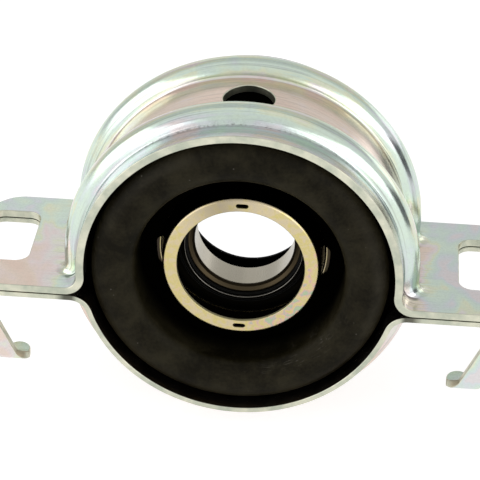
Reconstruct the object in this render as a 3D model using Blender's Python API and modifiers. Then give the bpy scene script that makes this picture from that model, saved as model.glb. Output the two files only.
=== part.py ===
"""Driveshaft centre bearing.

A sealed ball bearing sits in a steel sleeve with a pressed dust cover on each side.
A rubber cushion carries the sleeve, and a two-part pressed bracket grips the cushion.
The upper bracket is an arch with two wings and a hook under each wing.
The lower bracket is a strap whose wings lie under the upper ones.

The shaft runs along Y with the front face towards -Y, X runs across the wings and Z is up.
The origin is on the shaft's axis, halfway along the depth of the bracket.
"""

import math

import bmesh
import bpy

MM = 0.001

# Clearances
FIT = 0.3 * MM
RUNNING = 0.28 * MM
MERGE = 0.01 * MM
CUT_MARGIN = 6.0 * MM

# Mesh fineness
TURN_STEPS = 32
FOLD_STEPS = 4
ARCH_STEPS = 13
BEAD_STEPS = 6
RACE_STEPS = 4
ROLL_STEPS = 6
CORNER_STEPS = 3
SLOT_STEPS = 4
HOOK_STEPS = 4
HOOK_FOOT_STEPS = 3
TONGUE_STEPS = 3
WINDOW_STEPS = 24
WEDGE_STEPS = 6
WEDGE_SEARCH_STEPS = 60
BALL_STEPS = 10
BALL_RINGS = 7
CAGE_POCKET_STEPS = 12
CAGE_STEPS_PER_BALL = 4
SHARP_ANGLE = math.radians(35)

# Ball bearing
BORE_R = 17.5 * MM
RING_WALL = 2.5 * MM
BALL_R = 3.97 * MM
BALL_COUNT = 11
BEARING_WIDTH = 14.0 * MM
BEARING_Y = 1.4 * MM
BORE_CHAMFER = 1.6 * MM
RIM_CHAMFER = 0.8 * MM
SHOULDER_OFFSET = 2.65 * MM
LAND_DROP = 1.2 * MM
SEAL_THICKNESS = 1.0 * MM
SEAL_INSET = 0.2 * MM
SEAL_SEAT = 1.3 * MM
LIP_CLEARANCE = 0.4 * MM
LIP_SLOPE = 1.2 * MM
CAGE_HALF_WALL = 1.9 * MM
CAGE_END_PLAY = 0.6 * MM
CAGE_HORN = 1.2 * MM
POCKET_CLEARANCE = 0.45 * MM

# Sleeve and dust covers
SLEEVE_WALL = 2.0 * MM
SLEEVE_CORNER = 0.7 * MM
SLEEVE_LIP = 1.8 * MM
SLEEVE_LIP_REACH = 1.3 * MM
COVER_WALL = 1.4 * MM
COVER_FACE_Y = 21.1 * MM
COVER_FACE_WIDTH = 4.2 * MM
COVER_WALL_INSET = 2.2 * MM
COVER_DRAFT = 1.0 * MM
COVER_SHOULDER = 1.6 * MM
COVER_FILLET = 1.2 * MM
DRAIN_LENGTH = 4.4 * MM
DRAIN_MARGIN = 1.15 * MM

# Rubber cushion
CUSHION_WALL = 19.1 * MM
CUSHION_WEB = 1.3 * MM
CUSHION_GROOVE = 6.7 * MM
CUSHION_GROOVE_R = 1.8 * MM
ROLL_CREST_Y = 28.6 * MM
ROLL_RISE = 4.1 * MM
RIM_GROOVE = 2.2 * MM
RIM_GROOVE_Y = 24.4 * MM
RIM_GROOVE_FLOOR = 0.55 * MM
RIB_SLIMMING = 0.5 * MM
POCKET_HALF_ANGLE = math.radians(11.5)
POCKET_WIDTH = 2.6 * MM
WEDGE_TIP = 1.0 * MM
WEDGE_ROOT = 3.0 * MM
WEDGE_SETBACK = 0.6 * MM

# Pressed bracket
DEPTH = 60.0 * MM
UPPER_WALL = 2.8 * MM
LOWER_WALL = 1.9 * MM
BEAD_HEIGHT = 5.6 * MM
BEAD_HALF_WIDTH = 4.7 * MM
BEAD_Y = 17.1 * MM
WING_TOP_Z = -7.4 * MM
UPPER_FOLD_R = 4.2 * MM
LOWER_FOLD_R = 6.1 * MM
WING_FLAT = 9.8 * MM
WING_MARGIN = 9.7 * MM
WING_CHAMFER = 15.5 * MM
SLOT_WIDTH = 18.0 * MM
SLOT_LENGTH = 33.0 * MM
SLOT_Y = 2.5 * MM
SLOT_CORNER_R = 5.0 * MM
WINDOW_R = 8.8 * MM
WINDOW_Y = -2.0 * MM

# Hooks under the wings
HOOK_TOP_WIDTH = 14.7 * MM
HOOK_FOOT_WIDTH = 9.0 * MM
HOOK_LEAN = 11.1 * MM
HOOK_DROP = 32.2 * MM
HOOK_BEND_R = 2.2 * MM
HOOK_FOOT_BEND_R = 0.4 * MM
HOOK_RELIEF = 1.5 * MM
HOOK_ROOT = 2.0 * MM
TONGUE_REACH = 8.7 * MM
TONGUE_R = 4.1 * MM
TONGUE_TIP_ANGLE = math.radians(75)

# Sizes that follow from the ones above
INNER_RACE_R = BORE_R + RING_WALL
PITCH_R = INNER_RACE_R + RUNNING + BALL_R
RACE_ARC_R = BALL_R + RUNNING
OUTER_RACE_R = PITCH_R + RACE_ARC_R
BEARING_OUTER_R = OUTER_RACE_R + RING_WALL
INNER_SHOULDER_R = PITCH_R - SHOULDER_OFFSET
OUTER_SHOULDER_R = PITCH_R + SHOULDER_OFFSET
INNER_LAND_R = INNER_SHOULDER_R - LAND_DROP
HALF_WIDTH = BEARING_WIDTH / 2
FRONT_FACE_Y = BEARING_Y - HALF_WIDTH
REAR_FACE_Y = BEARING_Y + HALF_WIDTH
SEAL_OUTER_Y = HALF_WIDTH - SEAL_INSET
SEAL_INNER_Y = SEAL_OUTER_Y - SEAL_THICKNESS
SEAT_Y = SEAL_INNER_Y - FIT
SLEEVE_INNER_R = BEARING_OUTER_R + FIT
SLEEVE_OUTER_R = SLEEVE_INNER_R + SLEEVE_WALL
SLEEVE_FRONT_Y = FRONT_FACE_Y - 2 * FIT - COVER_WALL - SLEEVE_LIP
SLEEVE_REAR_Y = REAR_FACE_Y + 2 * FIT + COVER_WALL + SLEEVE_LIP
COVER_WALL_R = BEARING_OUTER_R - COVER_WALL_INSET
COVER_FACE_R = COVER_WALL_R - COVER_DRAFT - COVER_SHOULDER
COVER_HOLE_R = COVER_FACE_R - COVER_FACE_WIDTH
DRAIN_WIDTH = COVER_FACE_WIDTH - 2 * DRAIN_MARGIN
DRAIN_PITCH_R = COVER_FACE_R - COVER_FACE_WIDTH / 2
CUSHION_BORE_R = SLEEVE_OUTER_R + FIT
CUSHION_R = CUSHION_BORE_R + CUSHION_WALL
CUSHION_LIP_R = COVER_WALL_R + FIT
BAND_R = CUSHION_R + FIT
WING_GAP_Z = WING_TOP_Z - UPPER_WALL
WING_UNDER_Z = WING_GAP_Z - FIT - LOWER_WALL
CREST_R = BAND_R + UPPER_WALL + BEAD_HEIGHT
FOLD_END_X = math.sqrt((CREST_R + UPPER_FOLD_R) ** 2 - (WING_TOP_Z + UPPER_FOLD_R) ** 2)
SLOT_INNER_X = FOLD_END_X + WING_FLAT
WING_END_X = SLOT_INNER_X + SLOT_WIDTH + WING_MARGIN
HOOK_BEND_OUTER_R = HOOK_BEND_R + UPPER_WALL
HOOK_FOOT_OUTER_R = HOOK_FOOT_BEND_R + UPPER_WALL

# Colours: base colour, roughness and metallic value
PLATED = ("plated_steel", (0.74, 0.76, 0.68), 0.30, 1.0)
GOLDEN = ("golden_plating", (0.80, 0.70, 0.42), 0.30, 1.0)
GROUND = ("ground_steel", (0.62, 0.60, 0.57), 0.22, 1.0)
POLISHED = ("polished_steel", (0.70, 0.70, 0.70), 0.10, 1.0)
RUBBER = ("black_rubber", (0.030, 0.027, 0.023), 0.65, 0.0)
SEAL_RUBBER = ("seal_rubber", (0.015, 0.015, 0.015), 0.45, 0.0)
ENAMEL = ("black_enamel", (0.012, 0.012, 0.012), 0.40, 0.0)
NYLON = ("cage_nylon", (0.20, 0.19, 0.17), 0.50, 0.0)


def clear_scene():
    """Remove every object that the file opened with."""
    for obj in list(bpy.data.objects):
        bpy.data.objects.remove(obj, do_unlink=True)


def new_collection(name):
    """Make a collection and link it to the scene."""
    collection = bpy.data.collections.new(name)
    bpy.context.scene.collection.children.link(collection)
    return collection


clear_scene()
PARTS = new_collection("driveshaft_centre_bearing")
CUTTERS = new_collection("cutters")


def material(finish, name):
    """Make a Principled material for one piece from its finish."""
    label, colour, roughness, metallic = finish
    mat = bpy.data.materials.new(name + "_" + label)
    mat.use_nodes = True
    shader = mat.node_tree.nodes["Principled BSDF"]
    shader.inputs["Base Color"].default_value = (*colour, 1.0)
    shader.inputs["Roughness"].default_value = roughness
    shader.inputs["Metallic"].default_value = metallic
    return mat


def add_piece(name, mesh, finish):
    """Add a mesh to the part's collection as a named piece."""
    obj = bpy.data.objects.new(name, mesh)
    mesh.materials.append(material(finish, name))
    PARTS.objects.link(obj)
    return obj


def add_cutter(name, mesh):
    """Add a mesh that only cuts or joins other pieces."""
    obj = bpy.data.objects.new(name, mesh)
    obj.hide_render = True
    obj.display_type = "WIRE"
    CUTTERS.objects.link(obj)
    return obj


def mesh_from(name, bm):
    """Turn a bmesh into a smooth mesh and free it."""
    bmesh.ops.recalc_face_normals(bm, faces=bm.faces)
    mesh = bpy.data.meshes.new(name)
    bm.to_mesh(mesh)
    bm.free()
    mesh.shade_smooth()
    mesh.set_sharp_from_angle(angle=SHARP_ANGLE)
    return mesh


def boolean(obj, other, operation):
    """Cut another object out of a piece, or join it on."""
    step = obj.modifiers.new(operation.lower() + "_" + other.name, "BOOLEAN")
    step.operation = operation
    step.solver = "EXACT"
    step.object = other
    return step


def mirror_across(obj):
    """Repeat an object on the other wing."""
    step = obj.modifiers.new("both_sides", "MIRROR")
    step.use_axis = (True, False, False)
    step.merge_threshold = MERGE
    return step


def thicken(obj, wall):
    """Give an open surface its wall on the inner side."""
    step = obj.modifiers.new("wall", "SOLIDIFY")
    step.thickness = wall
    step.offset = -1.0
    step.use_even_offset = True
    step.use_quality_normals = True
    return step


def turned(name, profile, finish, closed=True, steps=TURN_STEPS):
    """Turn a profile of (radius, place along the shaft) points about the shaft.

    The profile runs from rear to front on its outer side.
    """
    count = len(profile)
    edges = [(i, (i + 1) % count) for i in range(count if closed else count - 1)]
    mesh = bpy.data.meshes.new(name)
    mesh.from_pydata([(r, 0.0, y) for r, y in profile], edges, [])
    obj = add_piece(name, mesh, finish)
    obj.rotation_euler.x = -math.pi / 2
    screw = obj.modifiers.new("turn", "SCREW")
    screw.axis = "Z"
    screw.steps = steps
    screw.render_steps = steps
    screw.use_merge_vertices = True
    screw.merge_threshold = MERGE
    return obj


def rounded_block(name, low, high, radius, axis, segments=SLOT_STEPS):
    """Make a box between two corners with the edges along one axis rounded."""
    bm = bmesh.new()
    bmesh.ops.create_cube(bm, size=1.0)
    for vert in bm.verts:
        for i in range(3):
            vert.co[i] = low[i] if vert.co[i] < 0 else high[i]
    if radius > 0:
        along = [e for e in bm.edges if abs((e.verts[0].co - e.verts[1].co)[axis]) > MERGE]
        bmesh.ops.bevel(bm, geom=along, offset=radius, segments=segments, profile=0.5,
                        affect="EDGES")
    return mesh_from(name, bm)


def extruded(name, points, travel):
    """Extrude a flat outline of points by a travel vector."""
    bm = bmesh.new()
    face = bm.faces.new([bm.verts.new(point) for point in points])
    grown = bmesh.ops.extrude_face_region(bm, geom=[face])["geom"]
    moved = [item for item in grown if isinstance(item, bmesh.types.BMVert)]
    bmesh.ops.translate(bm, verts=moved, vec=travel)
    return mesh_from(name, bm)


def prism(name, outline, low_y, high_y):
    """Extrude an outline of (x, z) points along the shaft."""
    return extruded(name, [(x, low_y, z) for x, z in outline], (0.0, high_y - low_y, 0.0))


def arc(centre, radius, start, end, steps):
    """Points on an arc from one angle to another, both ends included."""
    return [(centre[0] + radius * math.cos(start + (end - start) * i / steps),
             centre[1] + radius * math.sin(start + (end - start) * i / steps))
            for i in range(steps + 1)]


# Ball bearing

def race_arc(side):
    """Points of a race groove from rear to front, on the inner (-1) or outer (+1) ring."""
    reach = math.acos(SHOULDER_OFFSET / RACE_ARC_R)
    points = arc((0.0, 0.0), RACE_ARC_R, reach, -reach, RACE_STEPS)
    return [(PITCH_R + side * c, BEARING_Y + s) for c, s in points]


def inner_ring():
    """Inner ring: bore, chamfers, a land for each seal lip and the race between."""
    rear = [(BORE_R, HALF_WIDTH - BORE_CHAMFER), (BORE_R + BORE_CHAMFER, HALF_WIDTH),
            (INNER_LAND_R, HALF_WIDTH), (INNER_LAND_R, SEAT_Y), (INNER_SHOULDER_R, SEAT_Y)]
    profile = [(r, BEARING_Y + y) for r, y in rear]
    profile += race_arc(-1)
    profile += [(r, BEARING_Y - y) for r, y in reversed(rear)]
    turned("bearing_inner_ring", profile, GROUND)


def outer_ring():
    """Outer ring: plain outside with chamfers, seal seats and the race inside."""
    outside = [(BEARING_OUTER_R - RIM_CHAMFER, HALF_WIDTH),
               (BEARING_OUTER_R, HALF_WIDTH - RIM_CHAMFER)]
    seat_r = OUTER_SHOULDER_R + SEAL_SEAT
    inside = [(OUTER_SHOULDER_R, SEAT_Y), (seat_r, SEAT_Y), (seat_r, HALF_WIDTH)]
    profile = [(r, BEARING_Y + y) for r, y in outside]
    profile += [(r, BEARING_Y - y) for r, y in reversed(outside)]
    profile += [(r, BEARING_Y - y) for r, y in reversed(inside)]
    profile += list(reversed(race_arc(1)))
    profile += [(r, BEARING_Y + y) for r, y in inside]
    turned("bearing_outer_ring", profile, GROUND)


def bearing_seal(name, side):
    """Seal washer: its rim sits in the outer ring and its lip runs over the inner ring's land."""
    lip_r = INNER_LAND_R + LIP_CLEARANCE
    rim_r = OUTER_SHOULDER_R + SEAL_SEAT - FIT
    half = SEAL_THICKNESS / 2
    section = [(lip_r, SEAL_INNER_Y + half), (lip_r + LIP_SLOPE, SEAL_OUTER_Y),
               (rim_r, SEAL_OUTER_Y), (rim_r, SEAL_INNER_Y), (lip_r, SEAL_INNER_Y)]
    if side < 0:
        section = [(r, -y) for r, y in reversed(section)]
    turned(name, [(r, BEARING_Y + y) for r, y in section], SEAL_RUBBER)


def ball_cage():
    """One-piece crown cage: a ring behind the balls with horns between them."""
    inner, outer = PITCH_R - CAGE_HALF_WALL, PITCH_R + CAGE_HALF_WALL
    pocket_r = BALL_R + POCKET_CLEARANCE
    back = BEARING_Y + SEAL_INNER_Y - CAGE_END_PLAY
    front = BEARING_Y - CAGE_HORN
    cage = turned("ball_cage", [(inner, back), (outer, back), (outer, front), (inner, front)],
                  NYLON, steps=CAGE_STEPS_PER_BALL * BALL_COUNT)
    bm = bmesh.new()
    for turn in ball_turns():
        made = bmesh.ops.create_cone(bm, cap_ends=True, segments=CAGE_POCKET_STEPS,
                                     radius1=pocket_r, radius2=pocket_r,
                                     depth=2 * (CAGE_HALF_WALL + CUT_MARGIN))["verts"]
        spin = rotation_about_y(math.pi / 2 - turn)
        bmesh.ops.translate(bm, verts=made, vec=(0.0, 0.0, PITCH_R))
        for vert in made:
            vert.co = turn_point(vert.co, spin)
            vert.co.y += BEARING_Y
    boolean(cage, add_cutter("cage_pockets", mesh_from("cage_pockets", bm)), "DIFFERENCE")


def ball_turns():
    """Angle of each ball about the shaft, from the top, spread evenly."""
    return [math.pi / 2 + 2 * math.pi * i / BALL_COUNT for i in range(BALL_COUNT)]


def rotation_about_y(angle):
    """Cosine and sine of a turn about the shaft."""
    return math.cos(angle), math.sin(angle)


def turn_point(point, spin):
    """Turn a point about the shaft, from Z towards X."""
    c, s = spin
    turned_point = point.copy()
    turned_point.x = c * point.x + s * point.z
    turned_point.z = -s * point.x + c * point.z
    return turned_point


def balls():
    """The balls, each with its origin at its centre."""
    for i, turn in enumerate(ball_turns(), start=1):
        bm = bmesh.new()
        bmesh.ops.create_uvsphere(bm, u_segments=BALL_STEPS, v_segments=BALL_RINGS,
                                  radius=BALL_R)
        name = "ball_%02d" % i
        ball = add_piece(name, mesh_from(name, bm), POLISHED)
        ball.rotation_euler.x = -math.pi / 2
        ball.location = (PITCH_R * math.cos(turn), BEARING_Y, PITCH_R * math.sin(turn))


# Sleeve and dust covers

def bearing_sleeve():
    """Sleeve around the bearing, rolled in at both ends to trap the bearing and covers."""
    lip_r = SLEEVE_INNER_R - SLEEVE_LIP_REACH
    corner_r = SLEEVE_OUTER_R - SLEEVE_CORNER
    profile = [(corner_r, SLEEVE_REAR_Y), (SLEEVE_OUTER_R, SLEEVE_REAR_Y - SLEEVE_CORNER),
               (SLEEVE_OUTER_R, SLEEVE_FRONT_Y + SLEEVE_CORNER), (corner_r, SLEEVE_FRONT_Y),
               (lip_r, SLEEVE_FRONT_Y), (lip_r, SLEEVE_FRONT_Y + SLEEVE_LIP),
               (SLEEVE_INNER_R, SLEEVE_FRONT_Y + SLEEVE_LIP),
               (SLEEVE_INNER_R, SLEEVE_REAR_Y - SLEEVE_LIP),
               (lip_r, SLEEVE_REAR_Y - SLEEVE_LIP), (lip_r, SLEEVE_REAR_Y)]
    turned("bearing_sleeve", profile, GOLDEN)


def dust_cover(name, side, seat_y, finish):
    """Pressed cover: flange against the bearing, tapered wall, rounded shoulder and face.

    side is -1 at the front and +1 at the rear, and seat_y is the bearing's face.
    """
    flange_y = abs(seat_y) + FIT + COVER_WALL
    fillet = arc((COVER_WALL_R + COVER_FILLET, flange_y + COVER_FILLET), COVER_FILLET,
                 -math.pi / 2, -math.pi, CORNER_STEPS - 1)
    shoulder = arc((COVER_FACE_R, COVER_FACE_Y - COVER_SHOULDER), COVER_SHOULDER,
                   0.0, math.pi / 2, CORNER_STEPS)
    half = [(BEARING_OUTER_R, flange_y)] + fillet + shoulder + [(COVER_HOLE_R, COVER_FACE_Y)]
    if side < 0:
        profile = [(r, -y) for r, y in half]
    else:
        profile = list(reversed(half))
    cover = turned(name, profile, finish, closed=False)
    thicken(cover, COVER_WALL)
    for place, height in (("top", DRAIN_PITCH_R), ("bottom", -DRAIN_PITCH_R)):
        low = (-DRAIN_LENGTH / 2, side * COVER_FACE_Y - CUT_MARGIN, height - DRAIN_WIDTH / 2)
        high = (DRAIN_LENGTH / 2, side * COVER_FACE_Y + CUT_MARGIN, height + DRAIN_WIDTH / 2)
        label = name + "_drain_" + place
        drain = rounded_block(label, low, high, DRAIN_WIDTH / 2 - MERGE, 1, CORNER_STEPS)
        boolean(cover, add_cutter(label, drain), "DIFFERENCE")


# Rubber cushion

def cushion_half(sleeve_end):
    """Half of the cushion's section, from its bore out over one face to its rim.

    A thin web covers the sleeve's end. A deep groove, the soft roll and a groove inside the
    band follow. sleeve_end is how far the sleeve reaches along the shaft on this side.
    """
    seat_y = sleeve_end + FIT
    floor_y = seat_y + CUSHION_WEB
    roll_inner_r = CUSHION_LIP_R + CUSHION_GROOVE
    roll_outer_r = CUSHION_R - RIM_GROOVE
    roll_mid_r = (roll_inner_r + roll_outer_r) / 2
    roll_half = (roll_outer_r - roll_inner_r) / 2
    roll = [(roll_mid_r + roll_half * c, ROLL_CREST_Y - ROLL_RISE + ROLL_RISE * s)
            for c, s in arc((0.0, 0.0), 1.0, math.pi, 0.0, ROLL_STEPS)]
    groove_mid = (roll_inner_r - CUSHION_GROOVE_R, floor_y + CUSHION_GROOVE_R)
    return ([(CUSHION_BORE_R, seat_y), (CUSHION_LIP_R, seat_y), (CUSHION_LIP_R, floor_y)]
            + arc(groove_mid, CUSHION_GROOVE_R, -math.pi / 2, 0.0, CORNER_STEPS)
            + roll
            + [(roll_outer_r + RIM_GROOVE_FLOOR, RIM_GROOVE_Y - RIM_GROOVE_FLOOR),
               (CUSHION_R, RIM_GROOVE_Y)])


def locating_rib(middle):
    """The rib on the cushion's outside that sits in one pressed bead, from rear to front."""
    half = BEAD_HALF_WIDTH - UPPER_WALL - RIB_SLIMMING
    height = BEAD_HEIGHT - RIB_SLIMMING - 2 * FIT
    return [(CUSHION_R + height * s, middle + half * c)
            for c, s in arc((0.0, 0.0), 1.0, 0.0, math.pi, CORNER_STEPS)]


def fold_centre(radius, fold_r, wing_z):
    """Centre of the fold between the band and a wing, for the outer face of the sheet."""
    z = wing_z + fold_r
    return math.sqrt((radius + fold_r) ** 2 - z * z), z


def corner_wedges():
    """Rubber that fills the pointed gap between the two brackets, on both sides."""
    upper = fold_centre(BAND_R + UPPER_WALL, UPPER_FOLD_R, WING_TOP_Z)
    upper_r = UPPER_FOLD_R + UPPER_WALL + FIT
    lower = fold_centre(BAND_R + LOWER_WALL, LOWER_FOLD_R, -WING_UNDER_Z)
    lower_r = LOWER_FOLD_R + LOWER_WALL + FIT

    def top_at(x):
        return upper[1] - math.sqrt(upper_r ** 2 - (x - upper[0]) ** 2)

    def bottom_at(x):
        return -lower[1] + math.sqrt(lower_r ** 2 - (x - lower[0]) ** 2)

    start, end = upper[0] - upper_r + FIT, upper[0]
    places = [start + (end - start) * i / WEDGE_SEARCH_STEPS for i in range(WEDGE_SEARCH_STEPS)]
    tip_x = max(x for x in places if top_at(x) - bottom_at(x) > WEDGE_TIP)
    used = [start + (tip_x - start) * i / WEDGE_STEPS for i in range(WEDGE_STEPS + 1)]
    root_x = start - WEDGE_ROOT
    outline = [(root_x, top_at(start))] + [(x, top_at(x)) for x in used]
    outline += [(x, bottom_at(x)) for x in reversed(used)] + [(root_x, bottom_at(start))]
    half = RIM_GROOVE_Y - WEDGE_SETBACK
    wedge = add_cutter("corner_wedges", prism("corner_wedges", outline, -half, half))
    mirror_across(wedge)
    return wedge


def cover_pockets():
    """Pockets through the front web that bare the sleeve's edge at three and nine o'clock."""
    near = arc((0.0, 0.0), CUSHION_LIP_R - FIT, -POCKET_HALF_ANGLE, POCKET_HALF_ANGLE,
               CORNER_STEPS)
    far = arc((0.0, 0.0), CUSHION_LIP_R + POCKET_WIDTH, POCKET_HALF_ANGLE, -POCKET_HALF_ANGLE,
              CORNER_STEPS)
    mesh = prism("cover_pockets", near + far, -COVER_FACE_Y, SLEEVE_FRONT_Y)
    pockets = add_cutter("cover_pockets", mesh)
    mirror_across(pockets)
    return pockets


def rubber_cushion():
    """The cushion between the sleeve and the bracket, one moulding."""
    rear = cushion_half(SLEEVE_REAR_Y)
    front = [(r, -y) for r, y in cushion_half(-SLEEVE_FRONT_Y)]
    profile = rear + locating_rib(BEAD_Y) + locating_rib(-BEAD_Y) + list(reversed(front))
    cushion = turned("rubber_cushion", profile, RUBBER)
    boolean(cushion, corner_wedges(), "UNION")
    boolean(cushion, cover_pockets(), "DIFFERENCE")


# Pressed bracket

def bead_rise(y):
    """Height of the pressed beads above the band at a place along the shaft."""
    share = (abs(y) - BEAD_Y) / BEAD_HALF_WIDTH
    return BEAD_HEIGHT * math.sqrt(max(0.0, 1.0 - share * share))


def band_rows():
    """Places along the shaft where the sheet's shape changes, front to rear."""
    bead = [BEAD_Y - BEAD_HALF_WIDTH * math.cos(math.pi * i / BEAD_STEPS)
            for i in range(BEAD_STEPS + 1)]
    half = bead + [DEPTH / 2]
    return [-y for y in reversed(half)] + half


def half_section(radius, fold_r, wing_z):
    """Half of the sheet's outer face, from the crown down over the fold to the wing's end."""
    centre_x, centre_z = fold_centre(radius, fold_r, wing_z)
    lean = math.asin(centre_z / (radius + fold_r))
    crown = arc((0.0, 0.0), radius, math.pi / 2, lean, ARCH_STEPS)
    fold = arc((centre_x, centre_z), fold_r, math.pi + lean, 1.5 * math.pi, FOLD_STEPS)
    return crown + fold[1:] + [(WING_END_X, wing_z)]


def pressed_sheet(name, wall, fold_r, wing_z, up):
    """One bracket as a grid laid over its half section, mirrored and given its wall.

    up is +1 for the arch and -1 for the strap, which is the same form upside down.
    """
    rows = band_rows()
    sections = [half_section(BAND_R + wall + bead_rise(y), fold_r, wing_z) for y in rows]
    columns = len(sections[0])
    bm = bmesh.new()
    bmesh.ops.create_grid(bm, x_segments=columns - 1, y_segments=len(rows) - 1, size=0.5)
    for vert in bm.verts:
        i = round((vert.co.x + 0.5) * (columns - 1))
        j = round((vert.co.y + 0.5) * (len(rows) - 1))
        x, z = sections[j][i]
        vert.co = (x, rows[j], up * z)
    mesh = bpy.data.meshes.new(name)
    if up < 0:
        bmesh.ops.reverse_faces(bm, faces=bm.faces)
    bm.to_mesh(mesh)
    bm.free()
    mesh.shade_smooth()
    sheet = add_piece(name, mesh, PLATED)
    mirror_across(sheet)
    thicken(sheet, wall)
    return sheet


def hook_section():
    """Rows of the hook from the wing over the bend, down the leg and along the tongue.

    Each row is (y, z, inner edge x, outer edge x) on the sheet's outer face.
    """
    front_y = -DEPTH / 2
    bend_y = front_y + HOOK_BEND_OUTER_R
    bend_z = WING_TOP_Z - HOOK_BEND_OUTER_R
    foot_z = WING_TOP_Z - HOOK_DROP
    foot_mid = (front_y + HOOK_FOOT_OUTER_R, foot_z + HOOK_FOOT_OUTER_R)
    top_in = WING_END_X - HOOK_TOP_WIDTH
    foot_in = top_in - HOOK_LEAN
    foot_out = foot_in + HOOK_FOOT_WIDTH
    tongue_mid_y = front_y + TONGUE_REACH - TONGUE_R
    rows = [(bend_y + HOOK_ROOT, WING_TOP_Z, top_in, WING_END_X)]
    rows += [(y, z, top_in, WING_END_X)
             for y, z in arc((bend_y, bend_z), HOOK_BEND_OUTER_R, math.pi / 2, math.pi,
                             HOOK_STEPS)]
    bends = arc(foot_mid, HOOK_FOOT_OUTER_R, math.pi, 1.5 * math.pi, HOOK_FOOT_STEPS)
    for i, (y, z) in enumerate(bends):
        share = i / (2 * HOOK_FOOT_STEPS)
        rows.append((y, z, foot_in - share * TONGUE_R,
                     foot_out + share * (foot_in + TONGUE_R - foot_out)))
    for i in range(TONGUE_STEPS + 1):
        turn = TONGUE_TIP_ANGLE * i / TONGUE_STEPS
        reach = TONGUE_R * math.cos(turn)
        rows.append((tongue_mid_y + TONGUE_R * math.sin(turn), foot_z,
                     foot_in - reach, foot_in + reach))
    return rows


def hooks():
    """Both hooks, as a ribbon of sheet that joins the upper bracket."""
    rows = hook_section()
    bm = bmesh.new()
    bmesh.ops.create_grid(bm, x_segments=2, y_segments=len(rows) - 1, size=0.5)
    for vert in bm.verts:
        j = round((0.5 - vert.co.y) * (len(rows) - 1))
        y, z, inner, outer = rows[j]
        vert.co = (inner + (outer - inner) * (vert.co.x + 0.5), y, z)
    mesh = bpy.data.meshes.new("hooks")
    bm.to_mesh(mesh)
    bm.free()
    ribbon = add_cutter("hooks", mesh)
    mirror_across(ribbon)
    thicken(ribbon, UPPER_WALL)
    return ribbon


def wing_cutters():
    """The cuts that both brackets share: bolt slots and the rear outer corners."""
    low_z, high_z = WING_UNDER_Z - CUT_MARGIN, WING_TOP_Z + CUT_MARGIN
    slots = rounded_block("bolt_slots",
                          (SLOT_INNER_X, SLOT_Y - SLOT_LENGTH / 2, low_z),
                          (SLOT_INNER_X + SLOT_WIDTH, SLOT_Y + SLOT_LENGTH / 2, high_z),
                          SLOT_CORNER_R, 2)
    slot_cutter = add_cutter("bolt_slots", slots)
    mirror_across(slot_cutter)
    reach = WING_CHAMFER
    corner = [(WING_END_X - WING_CHAMFER, DEPTH / 2), (WING_END_X, DEPTH / 2 - WING_CHAMFER),
              (WING_END_X + reach, DEPTH / 2 - WING_CHAMFER - reach),
              (WING_END_X + reach, DEPTH / 2 + reach),
              (WING_END_X - WING_CHAMFER - reach, DEPTH / 2 + reach)]
    corners = extruded("wing_corners", [(x, y, low_z) for x, y in corner],
                       (0.0, 0.0, high_z - low_z))
    corner_cutter = add_cutter("wing_corners", corners)
    mirror_across(corner_cutter)
    return slot_cutter, corner_cutter


def hook_notch(name, back_y):
    """Cut that clears the wing's front edge for the hook's bend."""
    inner_x = WING_END_X - HOOK_TOP_WIDTH - HOOK_RELIEF
    mesh = rounded_block(name, (inner_x, -DEPTH, WING_UNDER_Z - CUT_MARGIN),
                         (WING_END_X + CUT_MARGIN, back_y, WING_TOP_Z + CUT_MARGIN), 0.0, 2)
    notch = add_cutter(name, mesh)
    mirror_across(notch)
    return notch


def brackets():
    """The arch with its window and hooks, and the strap below it."""
    slots, corners = wing_cutters()
    bend_y = -DEPTH / 2 + HOOK_BEND_OUTER_R
    upper = pressed_sheet("upper_bracket", UPPER_WALL, UPPER_FOLD_R, WING_TOP_Z, 1)
    boolean(upper, hook_notch("upper_notches", bend_y), "DIFFERENCE")
    boolean(upper, hooks(), "UNION")
    boolean(upper, slots, "DIFFERENCE")
    boolean(upper, corners, "DIFFERENCE")
    bm = bmesh.new()
    bmesh.ops.create_cone(bm, cap_ends=True, segments=WINDOW_STEPS, radius1=WINDOW_R,
                          radius2=WINDOW_R, depth=CREST_R)
    bmesh.ops.translate(bm, verts=bm.verts, vec=(0.0, WINDOW_Y, CREST_R))
    boolean(upper, add_cutter("window", mesh_from("window", bm)), "DIFFERENCE")
    lower = pressed_sheet("lower_bracket", LOWER_WALL, LOWER_FOLD_R, -WING_UNDER_Z, -1)
    boolean(lower, hook_notch("lower_notches", bend_y + FIT), "DIFFERENCE")
    boolean(lower, slots, "DIFFERENCE")
    boolean(lower, corners, "DIFFERENCE")


brackets()
rubber_cushion()
bearing_sleeve()
dust_cover("front_dust_cover", -1, FRONT_FACE_Y, GOLDEN)
dust_cover("rear_dust_cover", 1, REAR_FACE_Y, ENAMEL)
outer_ring()
inner_ring()
bearing_seal("front_bearing_seal", -1)
bearing_seal("rear_bearing_seal", 1)
ball_cage()
balls()
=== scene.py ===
"""Dressed scene of a driveshaft centre bearing.

Sizes in the fields are millimetres and become metres when a mesh is made.
The shaft runs along Y with the front towards -Y, X runs across the wings and Z is up.
"""

from __future__ import annotations

import logging
import math
from collections.abc import Callable, Sequence
from dataclasses import dataclass
from enum import Enum

import bpy
import numpy as np
from mathutils import Matrix, Quaternion, Vector

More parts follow.
